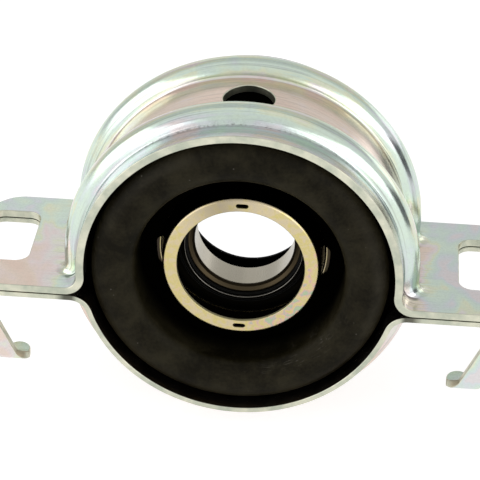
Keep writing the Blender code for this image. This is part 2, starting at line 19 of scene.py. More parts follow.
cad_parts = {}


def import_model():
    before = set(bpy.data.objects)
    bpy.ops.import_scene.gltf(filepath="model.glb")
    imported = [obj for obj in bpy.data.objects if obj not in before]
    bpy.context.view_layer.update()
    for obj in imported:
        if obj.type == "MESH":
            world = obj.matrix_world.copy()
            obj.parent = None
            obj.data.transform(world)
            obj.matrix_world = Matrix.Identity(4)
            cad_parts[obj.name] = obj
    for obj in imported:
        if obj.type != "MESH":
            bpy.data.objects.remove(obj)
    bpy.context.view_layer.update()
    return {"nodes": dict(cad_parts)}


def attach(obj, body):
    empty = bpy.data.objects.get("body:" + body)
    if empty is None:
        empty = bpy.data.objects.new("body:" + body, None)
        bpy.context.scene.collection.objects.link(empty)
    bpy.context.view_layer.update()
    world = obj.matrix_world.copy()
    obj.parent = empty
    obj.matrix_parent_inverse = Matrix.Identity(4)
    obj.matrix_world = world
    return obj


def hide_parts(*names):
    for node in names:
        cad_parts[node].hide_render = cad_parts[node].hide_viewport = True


LOG = logging.getLogger("centre_bearing")
MM = 0.001
Array = np.ndarray
Colour = tuple[float, float, float]
Material = bpy.types.Material
Object = bpy.types.Object
Socket = bpy.types.NodeSocket
# Front and rear end of the bearing's sleeve along the shaft
SLEEVE_ENDS = (-9.4, 12.2)


class Body(Enum):
    """The bodies that a piece can ride on."""

    HOUSING = "housing"
    INNER_RACE = "inner_race"


class Side(Enum):
    """Which end of the shaft axis a piece faces."""

    FRONT = -1
    REAR = 1


class Half(Enum):
    """Which half of the bracket: the arch lies above the wings and the strap below."""

    ARCH = 1
    STRAP = -1


# Surfaces worked out as arrays


@dataclass(frozen=True)
class Patch:
    """Points (n, 3) and the quads (m, 4) between them, anticlockwise from outside."""

    points: Array
    quads: Array


@dataclass(frozen=True)
class Solid:
    """A closed surface with its normals, and a mask that is 1 on sheared edges."""

    points: Array
    quads: Array
    normals: Array
    cut: Array


def unit(vectors: Array) -> Array:
    """Each vector divided by its length, with zero vectors left as they are."""
    length = np.linalg.norm(vectors, axis=-1, keepdims=True)
    return vectors / np.where(length > 1e-12, length, 1.0)


def smooth(low: float, high: float, value: Array) -> Array:
    """The smooth step 3t^2 - 2t^3, where t is the value's share of the way from low to high."""
    t = np.clip((value - low) / (high - low), 0.0, 1.0)
    return t * t * (3.0 - 2.0 * t)


def grid_quads(rows: int, columns: int, closed_rows: bool = False,
               closed_columns: bool = False) -> Array:
    """Quads of a grid whose point (i, j) has the index i * columns + j.

    Args:
        rows: Number of rows.
        columns: Number of columns.
        closed_rows: Join the last row to the first.
        closed_columns: Join the last column to the first.

    Returns:
        The quads, (m, 4), turning from the columns' direction to the rows'.
    """
    i = np.arange(rows if closed_rows else rows - 1)[:, None]
    j = np.arange(columns if closed_columns else columns - 1)[None, :]
    up, along = (i + 1) % rows, (j + 1) % columns
    corners = (i * columns + j, i * columns + along, up * columns + along, up * columns + j)
    return np.stack(np.broadcast_arrays(*corners), axis=-1).reshape(-1, 4)


def weld(patches: Sequence[Patch]) -> Patch:
    """Join patches at the points that they share, to a thousandth of a millimetre.

    Args:
        patches: The patches, each with its own numbering.

    Returns:
        One patch in which each point stands once.
    """
    points = np.concatenate([patch.points for patch in patches])
    starts = np.cumsum([0] + [len(patch.points) for patch in patches[:-1]])
    quads = np.concatenate([patch.quads + start for patch, start in zip(patches, starts)])
    keys = np.round(points * 1000.0).astype(np.int64)
    _, first, same = np.unique(keys, axis=0, return_index=True, return_inverse=True)
    return Patch(points[first], same.reshape(-1)[quads])


def vertex_normals(points: Array, quads: Array) -> Array:
    """Normal at each point, along the sum of the cross products of its quads' diagonals.

    Args:
        points: The points, (n, 3).
        quads: The quads between them, (m, 4).

    Returns:
        The unit normals, (n, 3).
    """
    a, b, c, d = (points[quads[:, k]] for k in range(4))
    face = np.cross(c - a, d - b)
    total = np.zeros_like(points)
    for k in range(4):
        np.add.at(total, quads[:, k], face)
    return unit(total)


def rounded(corners: Array, radii: Array | float, steps: int = 4, closed: bool = True) -> Array:
    """An outline with each corner replaced by an arc.

    The arc touches both sides at radius / tan(half angle) from the corner, and its centre
    lies on the bisector at radius / sin(half angle).

    Args:
        corners: Corner points, (n, 2).
        radii: One radius, or one for each corner.
        steps: Chords in each arc.
        closed: Whether the last corner joins the first.

    Returns:
        The rounded outline, (m, 2).
    """
    corners = np.asarray(corners, float)
    radii = np.broadcast_to(np.asarray(radii, float), len(corners))
    before = np.roll(corners, 1, axis=0) - corners
    after = np.roll(corners, -1, axis=0) - corners
    a, b = unit(before), unit(after)
    half = np.arccos(np.clip((a * b).sum(axis=1), -1.0, 1.0)) / 2.0
    half = np.clip(half, 1e-3, math.pi / 2.0 - 1e-4)
    room = 0.495 * np.minimum(np.linalg.norm(before, axis=1), np.linalg.norm(after, axis=1))
    reach = np.minimum(radii / np.tan(half), room)
    centre = corners + unit(a + b) * (reach / np.cos(half))[:, None]
    start = corners + a * reach[:, None] - centre
    end = corners + b * reach[:, None] - centre
    sweep = math.pi - 2.0 * half
    t = np.linspace(0.0, 1.0, steps + 1)
    head = np.sin((1.0 - t) * sweep[:, None]) / np.sin(sweep)[:, None]
    tail = np.sin(t * sweep[:, None]) / np.sin(sweep)[:, None]
    arcs = (centre[:, None] + head[..., None] * start[:, None] + tail[..., None] * end[:, None])
    if not closed:
        arcs[0] = corners[0]
        arcs[-1] = corners[-1]
    line = arcs.reshape(-1, 2)
    ahead = np.roll(line, -1, axis=0) - line
    keep = np.linalg.norm(ahead, axis=1) > 1e-4
    if not closed:
        keep[-1] = True
    return line[keep]


def stepped(line: Array, spacing: float) -> Array:
    """An open line with points added evenly, so that no step is longer than the spacing.

    Args:
        line: The line's points, (n, k).
        spacing: The longest step.

    Returns:
        The finer line, (m, k).
    """
    ahead = np.diff(line, axis=0)
    counts = np.maximum(np.ceil(np.linalg.norm(ahead, axis=1) / spacing), 1).astype(int)
    index = np.repeat(np.arange(len(counts)), counts)
    share = (np.arange(len(index)) - np.repeat(np.cumsum(counts) - counts, counts)) / counts[index]
    return np.vstack([line[index] + ahead[index] * share[:, None], line[-1:]])


def outline(rows: Array, steps: int) -> Array:
    """A closed section with its corners rounded, from rows of radius, place and rounding."""
    return rounded(rows[:, :2], rows[:, 2], steps)


def finer(line: Array, spacing: float) -> Array:
    """A closed line with points added, so that no step is longer than the spacing."""
    return stepped(np.vstack([line, line[:1]]), spacing)[:-1]


def block_border(quads: Array, columns: int, rows: tuple[int, int],
                 sides: tuple[int, int]) -> tuple[Array, Array]:
    """A block of cells in a grid, for a hole to take its place.

    Args:
        quads: The grid's quads, as grid_quads gives them.
        columns: Points in each of the grid's rows.
        rows: First and last row of points of the block.
        sides: First and last column of points of the block.

    Returns:
        Which quads lie in the block, and its border's points in order.
    """
    (low, high), (left, right) = rows, sides
    row, column = np.divmod(quads[:, 0], columns)
    inside = (row >= low) & (row < high) & (column >= left) & (column < right)
    border = np.concatenate([
        low * columns + np.arange(left, right), np.arange(low, high) * columns + right,
        high * columns + np.arange(right, left, -1), np.arange(high, low, -1) * columns + left])
    return inside, border


def ring_patch(loop: Array, centre: Array, hole: Callable[[Array], Array],
               layers: int) -> tuple[Array, Array]:
    """Quads between a hole and an anticlockwise loop round it.

    Each loop point is joined by a straight line to the hole's edge at the same angle.

    Args:
        loop: Loop points, (n, 2), without the first repeated.
        centre: Centre of the hole, (2,).
        hole: The hole's radius as a function of the angle.
        layers: Rings of quads between the hole and the loop.

    Returns:
        The points, ((layers + 1) * n, 2), and the quads.
    """
    out = loop - centre
    angle = np.arctan2(out[:, 1], out[:, 0])
    edge = hole(angle)[:, None] * np.stack([np.cos(angle), np.sin(angle)], axis=1)
    share = np.linspace(0.0, 1.0, layers + 1)[:, None, None]
    points = centre + edge + share * (out - edge)
    quads = grid_quads(layers + 1, len(loop), closed_columns=True)[:, ::-1]
    return points.reshape(-1, 2), quads


def rounded_box_radius(half_width: float, half_height: float,
                       corner: float) -> Callable[[Array], Array]:
    """Radius by angle of a box with rounded corners.

    Where the ray meets a flat side it is half_width / cos or half_height / sin, and
    elsewhere it solves |p - corner centre| = corner radius.

    Args:
        half_width: Half the box's width.
        half_height: Half its height.
        corner: Radius of its corners.

    Returns:
        The function from angle to radius.
    """

    def radius(angle: Array) -> Array:
        """Distance from the centre to the edge.

        Args:
            angle: Angles, (n,).

        Returns:
            The distance at each angle, (n,).
        """
        c = np.maximum(np.abs(np.cos(angle)), 1e-9)
        s = np.maximum(np.abs(np.sin(angle)), 1e-9)
        kx, ky = half_width - corner, half_height - corner
        side = half_width / c
        end = half_height / s
        dot = kx * c + ky * s
        arc = dot + np.sqrt(np.maximum(dot * dot - kx * kx - ky * ky + corner * corner, 0.0))
        return np.where(side * s <= ky, side, np.where(end * c <= kx, end, arc))

    return radius


def round_radius(radius: float) -> Callable[[Array], Array]:
    """A round hole's radius, the same at every angle."""
    return lambda angle: np.full_like(angle, radius)


def thick_sheet(patch: Patch, wall: float, edge: float, steps: int = 3) -> Solid:
    """Give a surface its wall, with rounded edges along every rim.

    The inner face is the outer one moved by the wall against the normal. Each rim is a row
    of points p + d e sin(a) - n e (1 - cos(a)), where d points out of the sheet in its own
    plane, n is the normal and e the rounding, and the same upside down at the inner face.

    Args:
        patch: Outer surface, which stops short of the real edge by the rounding.
        wall: Thickness.
        edge: Radius of the rounding.
        steps: Chords in each rounding.

    Returns:
        The closed solid.
    """
    points, quads = patch.points, patch.quads
    count = len(points)
    normals = vertex_normals(points, quads)
    directed = np.concatenate([quads[:, [k, (k + 1) % 4]] for k in range(4)])
    key = directed[:, 0] * count + directed[:, 1]
    twin = directed[:, 1] * count + directed[:, 0]
    rim = directed[~np.isin(key, twin)]
    ahead, behind = np.full(count, -1), np.full(count, -1)
    ahead[rim[:, 0]] = rim[:, 1]
    behind[rim[:, 1]] = rim[:, 0]
    on_rim = np.flatnonzero(ahead >= 0)
    run_in = unit(points[on_rim] - points[behind[on_rim]])
    run_out = unit(points[ahead[on_rim]] - points[on_rim])
    along = unit(run_in + run_out)
    mitre = 1.0 / np.maximum((along * run_in).sum(axis=1), 0.5)
    n = normals[on_rim]
    d = unit(np.cross(along, n))
    turn = np.linspace(0.0, math.pi / 2.0, steps + 1)[1:, None, None]
    reach = edge * mitre[:, None]
    top = points[on_rim] + d * reach * np.sin(turn) - n * edge * (1.0 - np.cos(turn))
    low = points[on_rim] + d * reach * np.sin(turn) - n * (wall - edge * (1.0 - np.cos(turn)))
    top_n = d * np.sin(turn) + n * np.cos(turn)
    low_n = d * np.sin(turn) - n * np.cos(turn)
    rows = np.concatenate([top, low[::-1]])
    row_normals = np.concatenate([top_n, low_n[::-1]])
    place = np.full(count, -1)
    place[on_rim] = np.arange(len(on_rim))
    first, second = place[rim[:, 0]], place[rim[:, 1]]
    width = len(on_rim)
    bases = 2 * count + np.arange(len(rows)) * width
    starts = [rim] + [np.stack([base + first, base + second], axis=1) for base in bases]
    ends = starts[1:] + [rim + count]
    strips = [np.concatenate([a[:, ::-1], b], axis=1) for a, b in zip(starts, ends)]
    all_points = np.concatenate([points, points - normals * wall, rows.reshape(-1, 3)])
    all_normals = np.concatenate([normals, -normals, row_normals.reshape(-1, 3)])
    cut = np.concatenate([np.zeros(2 * count), np.ones(len(rows) * width)])
    all_quads = np.concatenate([quads, quads[:, ::-1] + count] + strips)
    return Solid(all_points, all_quads, all_normals, cut)


def turned(section: Array, turns: int, shape: Callable[[Array, Array], Array] | None = None,
           angles: Array | None = None) -> Solid:
    """Turn a closed section of (radius, y) points about the shaft.

    A point is (r cos a, y, r sin a), after the shape function has moved (r, y) for its angle.

    Args:
        section: Section points, (n, 2).
        turns: Number of steps round the shaft.
        shape: Function of the points, (n, m, 2), and the angles, (m,), giving the moved points.
        angles: The angles, if they aren't even.

    Returns:
        The closed ring.
    """
    if angles is None:
        angles = np.linspace(0.0, 2.0 * math.pi, turns, endpoint=False)
    moved = np.broadcast_to(section[:, None, :], (len(section), len(angles), 2))
    if shape is not None:
        moved = shape(moved, angles)
    r, y = moved[..., 0], moved[..., 1]
    points = np.stack([r * np.cos(angles), y, r * np.sin(angles)], axis=-1).reshape(-1, 3)
    quads = grid_quads(len(section), len(angles), closed_rows=True, closed_columns=True)
    a, b, c, d = (points[quads[:, k]] for k in range(4))
    volume = (a * (np.cross(b, c) + np.cross(c, d))).sum()
    if volume < 0.0:
        quads = quads[:, ::-1]
    return Solid(points, quads, vertex_normals(points, quads), np.zeros(len(points)))


def make_piece(name: str, solid: Solid, finish: Material, body: Body, slot: str,
               *nodes: str, **masks: Array) -> Object:
    """Make a piece from a solid, and say what it rides on and stands for.

    Args:
        name: Name of the piece.
        solid: Its surface in millimetres.
        finish: Its material.
        body: The body that it rides on.
        slot: The record's material slot; not used.
        nodes: The nodes of the model that it replaces.
        masks: Values at each point, stored for the finish under the mask's name.

    Returns:
        The new object.
    """
    mesh = bpy.data.meshes.new(name)
    mesh.from_pydata((solid.points * MM).tolist(), [], solid.quads.tolist())
    mesh.shade_smooth()
    mesh.normals_split_custom_set_from_vertices(solid.normals.tolist())
    for key, values in {"cut_edge": solid.cut, **masks}.items():
        mask = mesh.attributes.new(key, "FLOAT", "POINT")
        mask.data.foreach_set("value", values.astype(np.float32))
    mesh.materials.append(finish)
    piece = bpy.data.objects.new(name, mesh)
    bpy.context.scene.collection.objects.link(piece)
    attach(piece, body.value)
    if nodes:
        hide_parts(*nodes)
    LOG.info("%s: %d quads on %s", name, len(solid.quads), body.value)
    return piece


# Finishes


class Nodes:
    """A node tree under construction."""

    def __init__(self, tree: bpy.types.NodeTree) -> None:
        """Start on a tree."""
        self.tree = tree

    def node(self, kind: str, inputs: dict[str, object] | None = None,
             **settings: object) -> bpy.types.Node:
        """Add a node.

        Args:
            kind: Type of the node.
            inputs: Values or sockets for its inputs, by name or number.
            settings: Properties to set on it.

        Returns:
            The node.
        """
        node = self.tree.nodes.new(kind)
        for key, value in settings.items():
            setattr(node, key, value)
        for key, value in (inputs or {}).items():
            self.feed(node.inputs[key], value)
        return node

    def feed(self, socket: Socket, value: object) -> None:
        """Link a socket to an input, or set the input's value.

        Args:
            socket: The input.
            value: An output socket to link, or a plain value.
        """
        if isinstance(value, Socket):
            self.tree.links.new(value, socket)
        else:
            socket.default_value = value

    def noise(self, where: Socket, scale: float, detail: float = 3.0,
              roughness: float = 0.5, distortion: float = 0.0) -> Socket:
        """Fractal noise between 0 and 1.

        Args:
            where: Coordinates in metres.
            scale: Cells in a metre.
            detail: Finer layers added.
            roughness: Strength of each finer layer.
            distortion: How far the noise bends its own coordinates.

        Returns:
            The noise.
        """
        node = self.node("ShaderNodeTexNoise", {"Vector": where, "Scale": scale, "Detail": detail,
                                                "Roughness": roughness,
                                                "Distortion": distortion})
        return node.outputs["Fac"]

    def ramp(self, value: Socket,
             stops: Sequence[tuple[float, Colour]]) -> Socket:
        """Colours by value.

        Args:
            value: The value, from 0 to 1.
            stops: Position and colour of each stop.

        Returns:
            The colour.
        """
        node = self.node("ShaderNodeValToRGB", {"Fac": value})
        elements = node.color_ramp.elements
        while len(elements) < len(stops):
            elements.new(0.5)
        for element, (position, colour) in zip(elements, stops):
            element.position = position
            element.color = (*colour, 1.0)
        return node.outputs["Color"]

    def span(self, value: Socket, low: float, high: float, start: float,
             end: float) -> Socket:
        """Map a value from one range to another, clamped.

        Args:
            value: The value.
            low: The value that gives the start.
            high: The value that gives the end.
            start: The lowest value's result.
            end: The highest value's result.

        Returns:
            The result.
        """
        node = self.node("ShaderNodeMapRange", {"Value": value, "From Min": low, "From Max": high,
                                                "To Min": start, "To Max": end})
        return node.outputs["Result"]

    def mix(self, share: object, first: object, second: object) -> Socket:
        """Mix two colours.

        Args:
            share: The second one's share.
            first: The colour at share 0.
            second: The colour at share 1.

        Returns:
            The mixed colour.
        """
        node = self.node("ShaderNodeMix", data_type="RGBA", blend_type="MIX")
        for index, value in ((0, share), (6, first), (7, second)):
            if isinstance(value, tuple):
                value = (*value, 1.0)
            self.feed(node.inputs[index], value)
        return node.outputs[2]

    def math(self, operation: str, first: object, second: object) -> Socket:
        """One operation on two values."""
        node = self.node("ShaderNodeMath", {0: first, 1: second}, operation=operation)
        return node.outputs["Value"]

    def times(self, first: object, second: object) -> Socket:
        """The product of two values."""
        return self.math("MULTIPLY", first, second)

    def plus(self, first: object, second: object) -> Socket:
        """The sum of two values."""
        return self.math("ADD", first, second)

    def bump(self, height: Socket, strength: float, distance: float,
             normal: Socket | None = None) -> Socket:
        """A bumped normal from a height.

        Args:
            height: The height, as a share of the distance.
            strength: Share of the bump that is used.
            distance: The height's full size in metres.
            normal: An earlier normal to add it to.

        Returns:
            The normal.
        """
        inputs = {"Height": height, "Strength": strength, "Distance": distance}
        if normal is not None:
            inputs["Normal"] = normal
        return self.node("ShaderNodeBump", inputs).outputs["Normal"]


class Shader(Nodes):
    """A node material under construction."""

    def __init__(self, name: str) -> None:
        """Start a material with a Principled shader.

        Args:
            name: Name of the material.
        """
        self.material = bpy.data.materials.new(name)
        self.material.use_nodes = True
        super().__init__(self.material.node_tree)
        self.surface = self.tree.nodes["Principled BSDF"]
        self.place = self.node("ShaderNodeTexCoord").outputs["Object"]

    def set(self, **values: object) -> None:
        """Feed the Principled shader's inputs, with underscores for spaces."""
        for key, value in values.items():
            self.feed(self.surface.inputs[key.replace("_", " ")], value)

    def stretched(self, scale: tuple[float, float, float]) -> Socket:
        """Object coordinates scaled along each axis."""
        mapping = self.node("ShaderNodeMapping", {"Vector": self.place, "Scale": scale})
        return mapping.outputs["Vector"]

    def mask(self, name: str) -> Socket:
        """A mask stored on the mesh."""
        return self.node("ShaderNodeAttribute", attribute_name=name).outputs["Fac"]


@dataclass(frozen=True)
class Plating:
    """Zinc plating with a soft rainbow tint, drawing marks and duller sheared edges."""

    name: str
    tints: tuple[tuple[float, Colour], ...]
    edge: tuple[Colour, Colour]
    patch_scale: float
    spread: float
    roughness: tuple[float, float]

    def film(self, shader: Shader) -> Socket:
        """How thick the tinted film is: the mask, with patches, streaks and lines added.

        Args:
            shader: The material under construction.

        Returns:
            The film's thickness, where 0 to 1 runs over the tints.
        """
        drawn = shader.mask("drawn")
        broad = shader.noise(shader.stretched((1.0, 0.6, 1.0)), self.patch_scale, 2.0, 0.45, 0.4)
        broad = shader.span(broad, 0.32, 0.68, -self.spread, self.spread)
        broad = shader.times(broad, shader.mask("mottle"))
        streak = shader.noise(shader.stretched((0.30, 2.6, 0.30)), 80.0, 4.0, 0.6, 0.2)
        streak = shader.times(shader.span(streak, 0.34, 0.66, -0.10, 0.10), drawn)
        lines = shader.noise(shader.stretched((0.09, 6.0, 0.09)), 230.0, 2.0, 0.5)
        lines = shader.times(shader.span(lines, 0.30, 0.70, -0.10, 0.10), drawn)
        film = shader.plus(shader.mask("film"), broad)
        return shader.plus(shader.plus(film, streak), lines)

    def build(self) -> Material:
        """Build the material: worn spots show as specks, and painted shade as a dark film.

        Returns:
            The material.
        """
        shader = Shader(self.name)
        place = shader.place
        tint = shader.ramp(self.film(shader), self.tints)
        fine = shader.noise(place, 1100.0, 3.0, 0.6)
        tint = shader.mix(shader.span(fine, 0.45, 0.70, 0.0, 0.16), tint, (0.42, 0.42, 0.39))
        marks = shader.noise(shader.stretched((0.06, 8.0, 0.06)), 420.0, 2.0, 0.6)
        marks = shader.times(shader.span(marks, 0.55, 0.68, 0.0, 0.5), shader.mask("drawn"))
        tint = shader.mix(marks, tint, (0.26, 0.26, 0.23))
        cut = shader.mask("cut_edge")
        bands = shader.noise(shader.stretched((1.0, 3.0, 1.0)), 160.0, 4.0, 0.6)
        edge = shader.ramp(shader.span(bands, 0.35, 0.65, 0.0, 1.0),
                           ((0.0, self.edge[0]), (1.0, self.edge[1])))
        colour = shader.mix(cut, tint, edge)
        speck = shader.noise(place, 900.0, 2.0, 0.7)
        worn = shader.times(shader.span(speck, 0.52, 0.60, 0.0, 0.9), shader.mask("wear"))
        colour = shader.mix(worn, colour, (0.10, 0.10, 0.09))
        # painted shade: the mask darkens creases, recesses and shadowed spots almost to black
        colour = shader.mix(shader.mask("grime"), colour, (0.022, 0.018, 0.012))
        cloud = shader.noise(place, 150.0, 4.0, 0.6)
        rough = shader.span(cloud, 0.3, 0.7, *self.roughness)
        rough = shader.plus(rough, shader.times(cut, 0.14))
        wave = shader.noise(place, 110.0, 2.0, 0.5)
        grain = shader.noise(shader.stretched((0.3, 1.0, 0.3)), 1600.0, 3.0, 0.6)
        dents = shader.times(speck, shader.mask("wear"))
        normal = shader.bump(wave, 0.08, 0.0006)
        normal = shader.bump(grain, 0.05, 0.00005, normal)
        normal = shader.bump(dents, 0.5, 0.0003, normal)
        shader.set(Base_Color=colour, Metallic=1.0, Roughness=rough, Normal=normal)
        return shader.material


@dataclass(frozen=True)
class GroundSteel:
    """Bearing steel with fine scratches along the shaft."""

    name: str
    dark: Colour
    light: Colour
    roughness: tuple[float, float]
    scale: Colour = (0.022, 0.017, 0.010)

    def build(self) -> Material:
        """Build the material.

        The scratches are long in Y and short round the shaft. The scale mask blends in the
        dark scale of surfaces that weren't ground.

        Returns:
            The material.
        """
        shader = Shader(self.name)
        scratch = shader.noise(shader.stretched((1.0, 0.02, 1.0)), 700.0, 3.0, 0.6)
        cloud = shader.noise(shader.place, 140.0, 3.0, 0.5)
        share = shader.plus(shader.times(scratch, 0.6), shader.times(cloud, 0.4))
        colour = shader.ramp(shader.span(share, 0.35, 0.65, 0.0, 1.0),
                             ((0.0, self.dark), (1.0, self.light)))
        brown = shader.mask("scale")
        colour = shader.mix(brown, colour, self.scale)
        rough = shader.span(scratch, 0.3, 0.7, *self.roughness)
        rough = shader.plus(rough, shader.times(brown, 0.08))
        normal = shader.bump(scratch, 0.02, 0.00004)
        shader.set(Base_Color=colour, Metallic=1.0, Roughness=rough, Normal=normal)
        return shader.material


@dataclass(frozen=True)
class Rubber:
    """Moulded rubber with a fine grain, dusty patches, a painted sheen and a few specks."""

    name: str
    deep: Colour
    dusty: Colour
    roughness: tuple[float, float]
    grain: float
    gloss: float

    def build(self) -> Material:
        """Build the material: clouds, cells and lines.

        The clouds give dusty tone and painted sheen, the cells specks and the lines scratches.

        Returns:
            The material.
        """
        shader = Shader(self.name)
        place = shader.place
        cloud = shader.noise(place, 70.0, 5.0, 0.62, 0.4)
        fine = shader.noise(place, 900.0, 3.0, 0.65)
        share = shader.plus(shader.times(cloud, 0.75), shader.times(fine, 0.25))
        colour = shader.ramp(shader.span(share, 0.40, 0.62, 0.0, 1.0),
                             ((0.0, self.deep), (1.0, self.dusty)))
        # painted sheen: lighter patches where the mask says, in place of the softboxes' reflection
        dust = shader.times(shader.mask("dust"), shader.span(cloud, 0.3, 0.6, 0.3, 1.0))
        colour = shader.mix(dust, colour, (0.036, 0.032, 0.023))
        cells = shader.node("ShaderNodeTexVoronoi", {"Vector": place, "Scale": 300.0})
        speck = shader.span(cells.outputs["Distance"], 0.04, 0.10, 1.0, 0.0)
        rare = shader.span(shader.noise(place, 110.0, 2.0), 0.54, 0.60, 0.0, 1.0)
        colour = shader.mix(shader.times(speck, rare), colour, (0.06, 0.055, 0.045))
        polar = shader.node("ShaderNodeCombineXYZ", {"X": shader.mask("arc"),
                                                     "Y": shader.mask("reach")})
        scratch = shader.noise(polar.outputs["Vector"], 1.0, 3.0, 0.7, 0.8)
        scratch = shader.times(shader.span(scratch, 0.58, 0.70, 0.0, 1.0), shader.mask("scuff"))
        colour = shader.mix(scratch, colour, (0.055, 0.050, 0.040))
        # painted shade: the deep mask darkens grooves and recesses almost to black
        colour = shader.mix(shader.mask("deep"), colour, (0.0006, 0.0005, 0.0003))
        rough = shader.span(cloud, 0.3, 0.7, *self.roughness)
        dent = shader.noise(place, 95.0, 3.0, 0.55, 0.3)
        normal = shader.bump(dent, 0.32, 0.0010)
        normal = shader.bump(fine, self.grain, 0.00012, normal)
        # the gloss is also taken away where shade is painted
        level = shader.span(shader.mask("deep"), 0.0, 1.0, self.gloss, 0.0)
        shader.set(Base_Color=colour, Roughness=rough, Normal=normal, Metallic=0.0,
                   Specular_IOR_Level=level)
        return shader.material


ZINC = Plating("bright_zinc",
               ((0.0, (0.74, 0.59, 0.50)), (0.16, (0.75, 0.63, 0.54)), (0.28, (0.75, 0.64, 0.62)),
                (0.38, (0.72, 0.69, 0.66)), (0.48, (0.70, 0.73, 0.55)), (0.58, (0.63, 0.74, 0.63)),
                (0.70, (0.60, 0.70, 0.64)), (0.80, (0.63, 0.67, 0.69)), (0.90, (0.72, 0.65, 0.65)),
                (1.0, (0.76, 0.68, 0.55))),
               ((0.44, 0.47, 0.38), (0.66, 0.65, 0.52)), 75.0, 0.26, (0.14, 0.24))
GOLD = Plating("yellow_zinc",
               ((0.0, (0.58, 0.49, 0.33)), (0.25, (0.61, 0.51, 0.31)), (0.45, (0.59, 0.50, 0.20)),
                (0.60, (0.62, 0.52, 0.27)), (0.74, (0.66, 0.43, 0.32)), (0.87, (0.49, 0.43, 0.38)),
                (1.0, (0.40, 0.49, 0.31))),
               ((0.44, 0.40, 0.20), (0.55, 0.48, 0.26)), 400.0, 0.40, (0.20, 0.28))
BORE_STEEL = GroundSteel("ground_steel", (0.38, 0.35, 0.28), (0.40, 0.37, 0.30), (0.26, 0.28),
                         (0.055, 0.042, 0.024))
LIP_STEEL = GroundSteel("seal_lip_steel", (0.17, 0.16, 0.14), (0.19, 0.18, 0.16), (0.16, 0.18))
BALL_STEEL = GroundSteel("ball_steel", (0.58, 0.58, 0.58), (0.66, 0.66, 0.66), (0.06, 0.10))
CUSHION_RUBBER = Rubber("cushion_rubber", (0.0050, 0.0041, 0.0016), (0.0175, 0.0150, 0.0078),
                        (0.34, 0.48), 0.20, 0.055)
SEAL_RUBBER = Rubber("seal_rubber", (0.0006, 0.0006, 0.0004), (0.0014, 0.0012, 0.0008),
                     (0.34, 0.42), 0.06, 0.10)
# painted shade: the rear cover is near black for the shade it lies in, where the front cover is
# plated
SHADED_COVER_BLACK = Rubber("black_enamel", (0.0008, 0.0008, 0.0007), (0.0018, 0.0017, 0.0016),
                      (0.40, 0.48), 0.04, 0.03)
CAGE_NYLON = Rubber("cage_nylon", (0.12, 0.11, 0.10), (0.20, 0.19, 0.17), (0.40, 0.50), 0.15, 0.5)


# Pressed bracket


